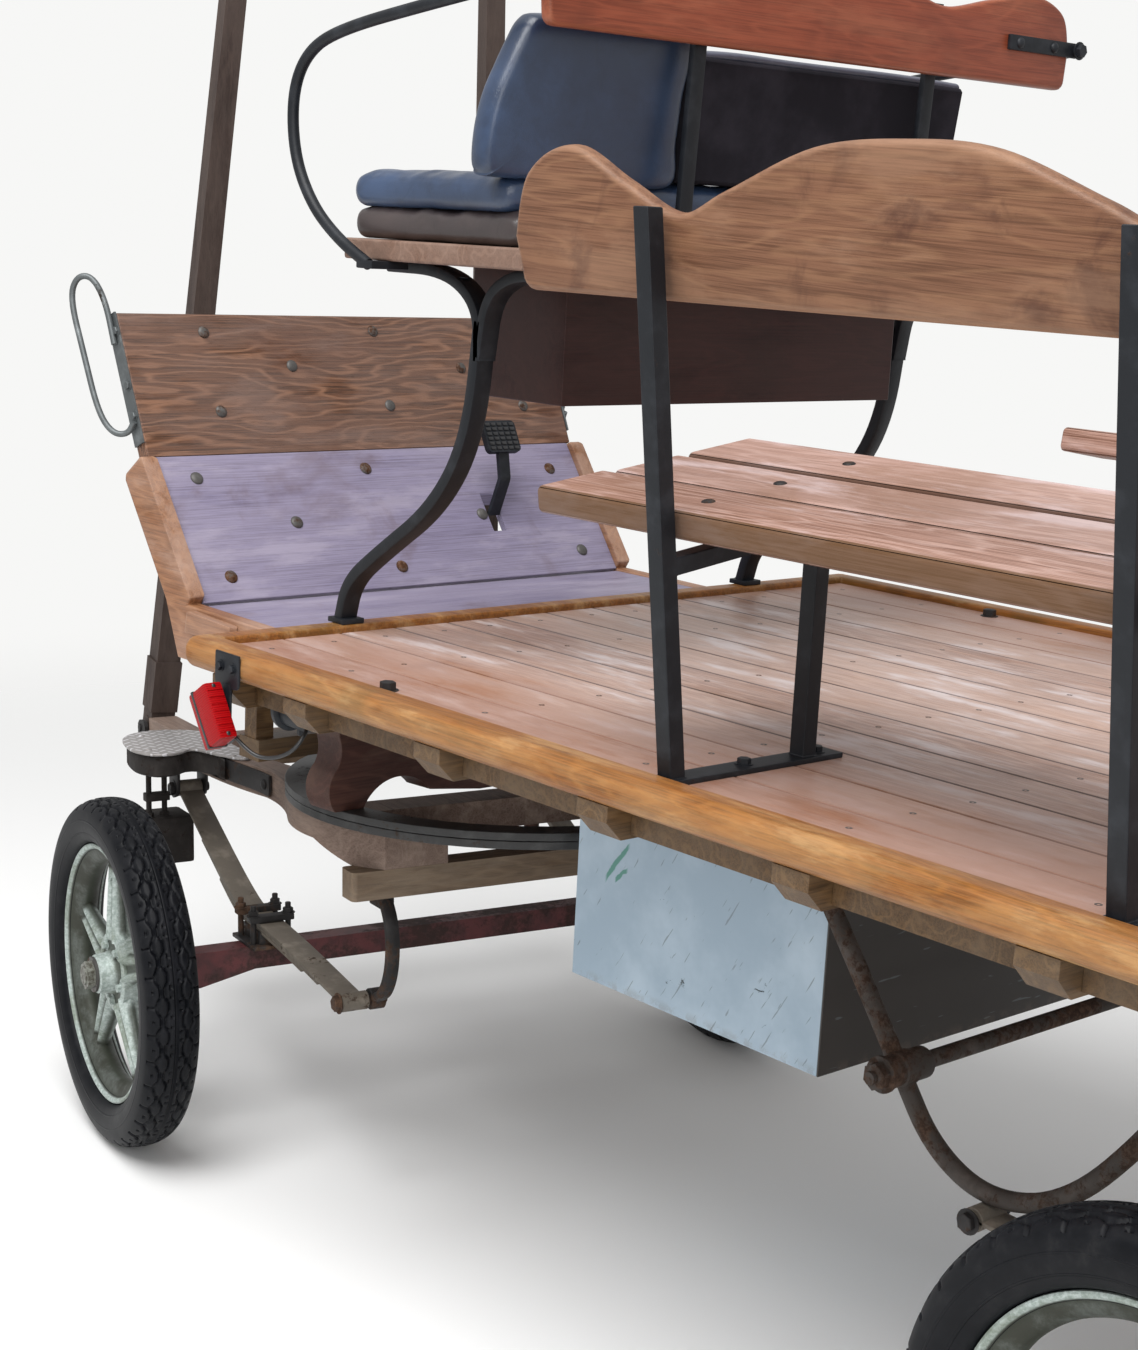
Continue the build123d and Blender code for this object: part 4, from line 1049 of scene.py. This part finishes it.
# round bows, their feet and the cross bar between them
bows = {"x": 382, "radius": 13, "feet": (990, 1700), "bar": (1187, -398)}
bm = bmesh.new()
wx = bows["x"]
bowLine = [(990, -146), (1100, -286), (1184, -400), (1248, -488), (1345, -526), (1458, -488), (1560, -370),
           (1700, -146)]
addTube(bm, bendLine([(wx, y, z) for y, z in bowLine]), bows["radius"], 18)
for y in bows["feet"]:
    addBox(bm, (wx - 20, y - 35, -151), (wx + 20, y + 35, -144.1), 2)
    for shift in (-24, 24):
        addHexBolt(bm, (wx, y + shift, -151), (0, 0, -1), 9, 7)
bar = bows["bar"]
collar = [(-44, axisTip), (-44, 20), (-41, 22), (-14, 22), (-12, 24), (12, 24), (14, 22), (36, 22), (38, 25),
          (43, 25), (43, axisTip)]
addLathe(bm, collar, 24, move(wx, *bar))
addHexBolt(bm, (wx + 43, *bar), (1, 0, 0), 19, 15, washer=0)
addTube(bm, [(wx + 56, *bar), (wx + 66, *bar)], 9, 14)
mirrorMesh(bm)
addTube(bm, [(-wx + 20, *bar), (wx - 20, *bar)], 12, 18)
finishPiece("round_bows", bm, rusty, "rear_bows")
print("irons")

# leaf springs with rolled eyes, clamps, hangers and pins; eyes and pins as (y, z)
spring = {
    "x": 382, "width": 50, "leaf": 7.2, "leafStep": 7.4, "axleTop": 346, "clampTop": 398,
    "eyeRadius": 16.5, "eyeBore": 10.5, "pinRadius": 10.3,
    "frontAxle": -366, "rearAxle": 1813,
    "frontLeaf": [(-795, 562), (-455, 396), (-366, 394), (-200, 382), (62, 352)],
    "rearLeaf": [(1360, 423), (1730, 393), (1813, 394), (1900, 393), (2266, 423)],
    "hangerPin": (2346, 500),
}
sx = spring["x"]


def addBarrel(bm, x0, x1, at, outer, bore=0):
    # a pin, or an eye where it has a bore, along x
    inside = bore or axisTip
    profile = [(x0, inside), (x0, outer - 1), (x0 + 1, outer), (x1 - 1, outer), (x1, outer - 1), (x1, inside)]
    addLathe(bm, profile, 24 if bore else 20, move(0, *at), closed=bore > 0)


def partWay(a, b, share):
    return tuple(p + (q - p) * share for p, q in zip(a, b))


def addLeaves(bm, leaf):
    wide, thick = spring["width"], spring["leaf"]
    addBar(bm, bendLine([(sx, y, z) for y, z in leaf], 10), wide, thick, round=0.25)
    for number, share in ((1, 0.42), (2, 0.72)):
        shorter = [partWay(leaf[0], leaf[1], share), *leaf[1:4], partWay(leaf[4], leaf[3], share)]
        drop = number * spring["leafStep"]
        addBar(bm, bendLine([(sx, y, z - drop) for y, z in shorter]), wide - 2 - number, thick, round=0.25)
    for end in (leaf[0], leaf[-1]):
        addBarrel(bm, sx - wide / 2, sx + wide / 2, end, spring["eyeRadius"], spring["eyeBore"])


def addClamps(bm, axleY):
    low, top = spring["axleTop"], spring["clampTop"]
    addBox(bm, (sx - 27, axleY - 45, low + 7), (sx + 27, axleY + 45, top - 20), 2)
    addBox(bm, (sx - 44, axleY - 58, low + 0.1), (sx + 44, axleY + 58, low + 8), 2)
    rise = top + 26 - low
    for y in (axleY - 34, axleY + 34):
        addBox(bm, (sx - 44, y - 12, top - 2), (sx + 44, y + 12, top + 11), 3)
        for x in (sx - 35, sx + 35):
            leg = [(0, 5.6), (rise, 5.6), (rise + 1, 4.6), (rise + 1, axisTip)]
            addLathe(bm, leg, 14, move(x, y, low + 4) @ turn("Y", -90))


def addPin(bm, x0, x1, at):
    addBarrel(bm, x0, x1, at, spring["pinRadius"])


frontEye, rearEye = spring["frontLeaf"][0], spring["frontLeaf"][-1]
bm = bmesh.new()
addLeaves(bm, spring["frontLeaf"])
mirrorMesh(bm)
finishPiece("front_leaves", bm, springIron, "front_springs", "fore", 32)
bm = bmesh.new()
addClamps(bm, spring["frontAxle"])
hx = 340
hanger = bendLine([(hx, 62, 576), (hx, 112, 536), (hx, 136, 492), (hx, 134, 424), (hx, 106, 372), (hx, 62, 352)])
addBar(bm, [p for p in hanger if p.z < 546.5], 26, 17, round=0.4)
addBox(bm, (hx - 14, 66, 528), (hx + 14, 112, 546.8), 3)
addPin(bm, hx - 20, sx + 30, rearEye)
addBarrel(bm, hx - 14, 352, rearEye, 19, spring["eyeBore"])
addHexBolt(bm, (sx + 28, *rearEye), (1, 0, 0), 14, 9)
cheek = [(-822, 629.8), (-822, 566), (-812, 549), (-795, 543), (-778, 549), (-768, 566), (-768, 629.8)]
for x in (sx - 30, sx + 30):
    addRoundedPlate(bm, cheek, 6, 1.2, move(x, 0, 0) @ sideways, arcSteps=2)
addBox(bm, (sx - 33, -822, 620), (sx + 33, -768, 629.8), 1.5)
addPin(bm, sx - 42, sx + 42, frontEye)
addHexBolt(bm, (sx + 33, *frontEye), (1, 0, 0), 14, 8)
mirrorMesh(bm)
finishPiece("front_spring_irons", bm, blackFore, None, "fore", 32)

bm = bmesh.new()
addLeaves(bm, spring["rearLeaf"])
mirrorMesh(bm)
finishPiece("rear_leaves", bm, springIron, "rear_springs", "ground", 32)
bm = bmesh.new()
addClamps(bm, spring["rearAxle"])
hanger = bendLine([(sx, 2262, 792), (sx, 2300, 690), (sx, 2356, 612), (sx, 2346, 500)], 10)
addBar(bm, [p for p in hanger if p.z < 792], 40, 15.5, round=0.3)
pins = (spring["hangerPin"], spring["rearLeaf"][-1], spring["rearLeaf"][0])
for at in pins:
    addPin(bm, sx - 42, sx + 42, at)
addBarrel(bm, sx - 20, sx + 20, spring["hangerPin"], 18, spring["eyeBore"])
for at in pins:
    addHexBolt(bm, (sx + 34, *at), (1, 0, 0), 13, 8)
shackle = [(2252, 404), (2284, 404), (2366, 492), (2364, 512), (2350, 520), (2334, 516), (2250, 430)]
for x in (sx - 30.5, sx + 30.5):
    addRoundedPlate(bm, shackle, 7, 1.4, move(x, 0, 0) @ sideways, arcSteps=2)
mirrorMesh(bm)
finishPiece("rear_spring_irons", bm, blackFore, None, "ground", 32)
print("springs")

# steps: pale chequered plate on a worn dark block, a lower tread hung from rods
step = {
    "edge": [(360, -722), (391, -764), (452, -790), (512, -773), (548, -723), (564, -615), (538, -550), (486, -548),
             (446, -588), (420, -504), (392, -444), (362, -460)],
    "screws": [(420, -735), (500, -735), (530, -600), (400, -480)],
    "strap": [(418.6, -660, 663), (418.4, -580, 663), (407, -480, 661), (387, -400, 659), (382.6, -330, 658)],
    "strapBolts": [(421.8, -640, 662), (420, -571, 661), (387, -352, 658)],
}
outline = [p.xy for p in bendLine([(*p, 0) for p in step["edge"]], 5, reach=0.42, closed=True)]
block = [(max(p.x, 416.2), p.y) for p in insetLine(outline, 8) if p.x > 400]
sides = (("left", 1), ("right", -1))
for sideName, side in sides:
    flip = Matrix.Scale(side, 4, (1, 0, 0))
    bm = bmesh.new()
    addRoundedPlate(bm, outline, 5.6, 2, flip @ move(0, 0, 687.2), arcSteps=3)
    for x, y in step["screws"]:
        addDome(bm, flip @ Vector((x, y, 690)), (0, 0, 1), 7, 2.6)
    finishPiece("step_plate_" + sideName, bm, chequered, "steps", "fore", 50)
    bm = bmesh.new()
    addRoundedPlate(bm, block, 43, 5, flip @ move(0, 0, 662.4), arcSteps=3)
    addBox(bm, (386, -850, 414), (492, -748, 512), 8, flip)
    for x in (441, 474):
        addTube(bm, [flip @ Vector((x, -776, z)) for z in (505, 641)], 5.8, 14)
        addHexBolt(bm, flip @ Vector((x, -776, 512)), (0, 0, 1), 10, 8)
    addBox(bm, (432, -787, 545), (483, -765, 562), 2, flip)
    finishPiece("step_block_" + sideName, bm, rubberBlock, None, "fore")
    bm = bmesh.new()
    addBar(bm, [flip @ p for p in bendLine(step["strap"], 5)], 40, 6.4, side=(0, 0, 1), round=0.15)
    for p in step["strapBolts"]:
        addDome(bm, flip @ Vector(p), (side, -0.1, 0), 10.5, 6)
    finishPiece("step_strap_" + sideName, bm, blackFore, None, "fore")
print("steps")


# bolts and screws, each a point and its outward direction
def makeBolts(name, spots, add, radius, height, material=black, site="deck"):
    bm = bmesh.new()
    for point, normal in spots:
        add(bm, point, normal, radius, height)
    finishPiece(name, bm, material, None, site, 40)


def onBothSides(points):
    return points + [((-p[0], p[1], p[2]), (-n[0], n[1], n[2])) for p, n in points]


def onBoard(run, normal, spots):
    # x, and the share of the way along a board from the dashboard's foot
    return [((x, *(dashFoot + run * share).yz), tuple(normal)) for x, share in spots]


up, down = (0, 0, 1), (0, 0, -1)
toeNormal = Vector((0, -toeRun.z, toeRun.y)).normalized()
dashSpots = ((330, 0.86), (-60, 0.88), (-410, 0.86), (330, 0.30), (-60, 0.32), (-400, 0.3), (150, 0.62), (-260, 0.6))
toeSpots = ((420, 0.16), (420, 0.84), (40, 0.14), (40, 0.86), (-420, 0.2), (-420, 0.84), (240, 0.5), (-200, 0.52))
makeBolts("dash_bolts", onBoard(dashRun, dashNormal, dashSpots), addDome, 12, 5, boltIron)
makeBolts("toe_board_bolts", onBoard(toeRun, toeNormal, toeSpots), addDome, 13, 5.5, boltIron)

# deck screws over each joist, plank by plank
screw = [(-0.5, 4.6), (0.35, 4.6), (0.5, 3.8), (0.1, 1.2), (0.1, axisTip)]
bm = bmesh.new()
for y in deck["joists"]:
    for i in range(deck["planks"]):
        x = -deck["field"] / 2 + (i + 0.5) * plankPitch
        addLathe(bm, screw, 10, towards((x + random.uniform(-6, 6), y + random.uniform(-5, 5), -0.2), up))
finishPiece("deck_screws", bm, boltIron, sharp=50)
makeBolts("deck_bolt", onBothSides([((688, 441, 0), up)]), addHexBolt, 12, 12, blackFore)
feet = [((x, y - 3, 7), up) for y in (1043, 1705) for x in (433, 568, 690)]
makeBolts("bench_bolts", onBothSides(feet), addHexBolt, 9, 7)
feet = [((bx, 12, 20.5), up), ((bx, 300, 582), down), ((bx, 470, 582), down)]
makeBolts("bracket_bolts", onBothSides(feet), addHexBolt, 8, 7)
posts = [((px, 553, 960), (0, -1, 0.05)), ((px, 551, 1010), (0, -1, 0.05))]
makeBolts("post_bolts", onBothSides(posts), addDome, 7, 3)
for end, axleY, site in (("front", spring["frontAxle"], "fore"), ("rear", spring["rearAxle"], "ground")):
    nuts = [((x, y, 408.8), up) for y in (axleY - 34, axleY + 34) for x in (sx - 35, sx + 35)]
    makeBolts(end + "_clamp_nuts", onBothSides(nuts), addHexBolt, 10, 9, blackFore, site)
print("bolts")

# lamps: a red lens with rounded edges in a black housing on its bracket, and a round lamp beside it
lamp = {
    "middle": (0.791, 0.133, -0.092), "tilt": 34, "size": (36, 50, 102),
    "bracket": [(108, -46), (174, -46), (174, 8), (166, 8), (116, 8), (108, 8)],
    "round": [(0, axisTip), (0, 30), (1, 33), (10, 34), (12, 31), (13, 26), (60, 26), (74, 20), (78, 12), (78, axisTip)],
    "cable": [(672, 214, -92), (690, 246, -100), (716, 240, -136), (742, 196, -150), (757, 160, -128), (770, 150, -104)],
    "cableWide": 0.0064,
}
bracketLine = [p.xy for p in bendLine([(*p, 0) for p in lamp["bracket"]], 3, reach=0.2, closed=True)]
a, b, c = (v / 2 for v in lamp["size"])
for sideName, side in sides:
    flip = Matrix.Scale(side, 4, (1, 0, 0))
    x, y, z = lamp["middle"]
    place = deckPlace @ move(side * x, y, z) @ turn("X", lamp["tilt"])
    bm = bmesh.new()
    addBox(bm, (-a + 2, -b + 6, -c + 5), (a - 2, b + 10, c - 5), 6)
    for k in range(7):
        z = -c + 17 + k * (2 * c - 34) / 6
        addBox(bm, (-a + 5, b + 6, z - 2.4), (a - 5, b + 11, z + 2.4), 1)
    finishPiece("lamp_lens_" + sideName, bm, finishes["lamps"], "lamps", sharp=50, place=place)
    bm = bmesh.new()
    addBox(bm, (-a + 1.2, -8, -c + 4.2), (a - 1.2, -2, c - 4.2), 1.6)
    addBox(bm, (-side * a - 9, -12, -c + 8), (-side * a + 2, 14, c - 8), 3)
    for z in (-c + 12, c - 12):
        addDome(bm, (0, b + 10, z), (0, 1, 0), 3.6, 1.6)
    finishPiece("lamp_housing_" + sideName, bm, plastic, "lamp_irons", sharp=50, place=place)
    bm = bmesh.new()
    addRoundedPlate(bm, bracketLine, 3.8, 1, flip @ move(767, 0, 0) @ sideways, arcSteps=2)
    addBox(bm, (765.2, 126, -92), (769.4, 152, -40), 1, flip)
    for y in (124, 158):
        addHexBolt(bm, flip @ Vector((769, y, -14)), (side, 0, 0), 7, 5)
    addLathe(bm, lamp["round"], 32, flip @ move(655, 140, -90) @ turn("Z", 90))
    addBox(bm, (650, 168, -70), (660, 192, -26.2), 1.5, flip)
    addHexBolt(bm, flip @ Vector((655, 180, -112)), down, 8, 12)
    finishPiece("lamp_brackets_" + sideName, bm, black, sharp=36)
    # the photo shows only the left lamp's cable
    if side > 0:
        route = [deckPlace @ (p / 1000) for p in bendLine(lamp["cable"])]
        curve = bpy.data.curves.new("lamp_cable_left", "CURVE")
        curve.dimensions = "3D"
        curve.bevel_depth = lamp["cableWide"] / 2
        curve.bevel_resolution = 3
        curve.use_fill_caps = True
        spline = curve.splines.new("NURBS")
        spline.points.add(len(route) - 1)
        for point, where in zip(spline.points, route):
            point.co = (*where, 1)
        spline.order_u = 3
        spline.use_endpoint_u = True
        curve.materials.append(plastic)
        cable = addObject("lamp_cable_left", curve, Matrix.Identity(4))
        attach(cable, "carriage")
        run = sum((q - p).length for p, q in zip(route, route[1:]))
print("lamps")

# small trim: a padded roll along the felt back's top edge, pale grey as a painted highlight; pedal ribs, slat bolts and
# the tool box's latch
trim = {
    "roll": [(-384, 503, 917), (-250, 505, 921), (0, 504, 919), (130, 506, 922), (226, 504, 917)],
    "rollRadius": 12,
    "pedal": (-230, -444, 250),
    "pedalTurn": 118,
    "slats": ((662, 36), (538, 34), (412, 38)),  # x and thickness
    "slatLean": 8.3,
}
# the roll's pale grey stands in for a highlight along the top of the felt back
highlightVinyl = vinylFinish("painted_highlight_vinyl", colour(88, 92, 108), colour(128, 132, 150))
bm = bmesh.new()
addTube(bm, bendLine(trim["roll"]), trim["rollRadius"], 16, flat=0.62, side=(0, 1, 0))
highlightRoll = finishPiece("backrest_top_highlight_roll", bm, highlightVinyl, sharp=60)
bm = bmesh.new()
pedalPlace = Matrix.Translation(trim["pedal"]) @ turn("X", trim["pedalTurn"])
for y in range(-25, 35, 10):
    for x in range(-30, 45, 15):
        for low, high in ((-8.4, -5.4), (5.4, 8.4)):
            addBox(bm, (x - 5.6, y - 3.2, low), (x + 5.6, y + 3.2, high), 1, pedalPlace)
finishPiece("pedal_ribs", bm, plastic, sharp=40)
slatBolts = []
lean = math.radians(trim["slatLean"])
for x, thick in trim["slats"]:
    for y in (1043, 1705):
        top = 329 + (660 - x) * math.tan(lean) + math.cos(lean) * thick / 2
        slatBolts.append(((x + math.sin(lean) * thick / 2, y, top), (math.sin(lean), 0, math.cos(lean))))
makeBolts("bench_slat_bolts", onBothSides(slatBolts), addDome, 9, 3.2, blackFore)
bm = bmesh.new()
addBox(bm, (-362, 716, -470), (-354, 760, -440), 2)
addTube(bm, [(-360, 738, -455), (-372, 738, -455)], 5, 12)
addBox(bm, (-374, 731, -474), (-368, 745, -436), 2.4)
finishPiece("tool_door_latch", bm, boltIron, sharp=40, body="tool_door")
print("trim")

# floor, light and camera
floorMesh = bmesh.new()
bmesh.ops.create_grid(floorMesh, x_segments=1, y_segments=1, size=40)
floorData = bpy.data.meshes.new("floor")
floorMesh.to_mesh(floorData)
floorMesh.free()
floor = addObject("floor", floorData, move(0, 0, -0.0004))
f = Finish("floor")
f.finish((0.86, 0.86, 0.855), 0.9, specular=0.0)
away = f.add("ShaderNodeVectorMath", {"operation": "LENGTH"}, {0: f.point}, out=1)
clear = f.add("ShaderNodeBsdfTransparent", {}, {})
faded = f.add("ShaderNodeMixShader", {}, {0: f.step(away, 2.6, 7.5), 1: Link(f, f.shader.outputs[0]), 2: clear})
f.join(f.tree.nodes["Material Output"].inputs[0], faded)
floorData.materials.append(f.material)

light = {"world": 0.62, "key": 520, "fill": 160}
world = bpy.data.worlds.new("studio")
bpy.context.scene.world = world
world.use_nodes = True
sky = Nodes(world.node_tree)
background = sky.tree.nodes["Background"]
sky.join(background.inputs[0], (1, 1, 1))
sky.join(background.inputs[1], light["world"])
shown = sky.add("ShaderNodeBackground", {}, {0: (0.93, 0.93, 0.92), 1: 1.0})
seen = sky.add("ShaderNodeLightPath", {}, {}, out="Is Camera Ray")
blend = sky.add("ShaderNodeMixShader", {}, {0: seen, 1: Link(sky, background.outputs[0]), 2: shown})
sky.join(sky.tree.nodes["World Output"].inputs[0], blend)


def areaLight(name, position, size):
    data = bpy.data.lights.new(name, "AREA")
    data.energy = light[name]
    data.size = size
    aim = (Vector((0, 0, 0.8)) - Vector(position)).to_track_quat("-Z", "Y")
    addObject(name, data, Matrix.Translation(position) @ aim.to_matrix().to_4x4())


areaLight("key", (3.2, 1.0, 6.5), 4.5)
areaLight("fill", (5.5, 6.5, 3.0), 4.0)

view = {
    "place": (2.54975, 2.326616, 1.559),
    "turn": 138.79,
    "down": 10.42,
    "roll": 1.12,
    "lens": 69.12,
    "shift": (0.0028, 0.0285),
}
heading, dip, roll = (math.radians(view[k]) for k in ("turn", "down", "roll"))
ahead = Vector((-math.sin(heading) * math.cos(dip), math.cos(heading) * math.cos(dip), -math.sin(dip)))
level = Vector((math.cos(heading), math.sin(heading), 0))
above = level.cross(ahead)
rightWay = level * math.cos(roll) + above * math.sin(roll)
upWay = above * math.cos(roll) - level * math.sin(roll)
camera = bpy.data.cameras.new("camera")
camera.sensor_fit = "HORIZONTAL"
camera.sensor_width = 36
camera.lens = view["lens"]
camera.shift_x, camera.shift_y = view["shift"]
facing = Matrix((rightWay, upWay, -ahead)).transposed().to_4x4()
bpy.context.scene.camera = addObject("camera", camera, Matrix.Translation(view["place"]) @ facing)
bpy.context.scene.view_settings.view_transform = "Standard"
print("camera, light and floor")
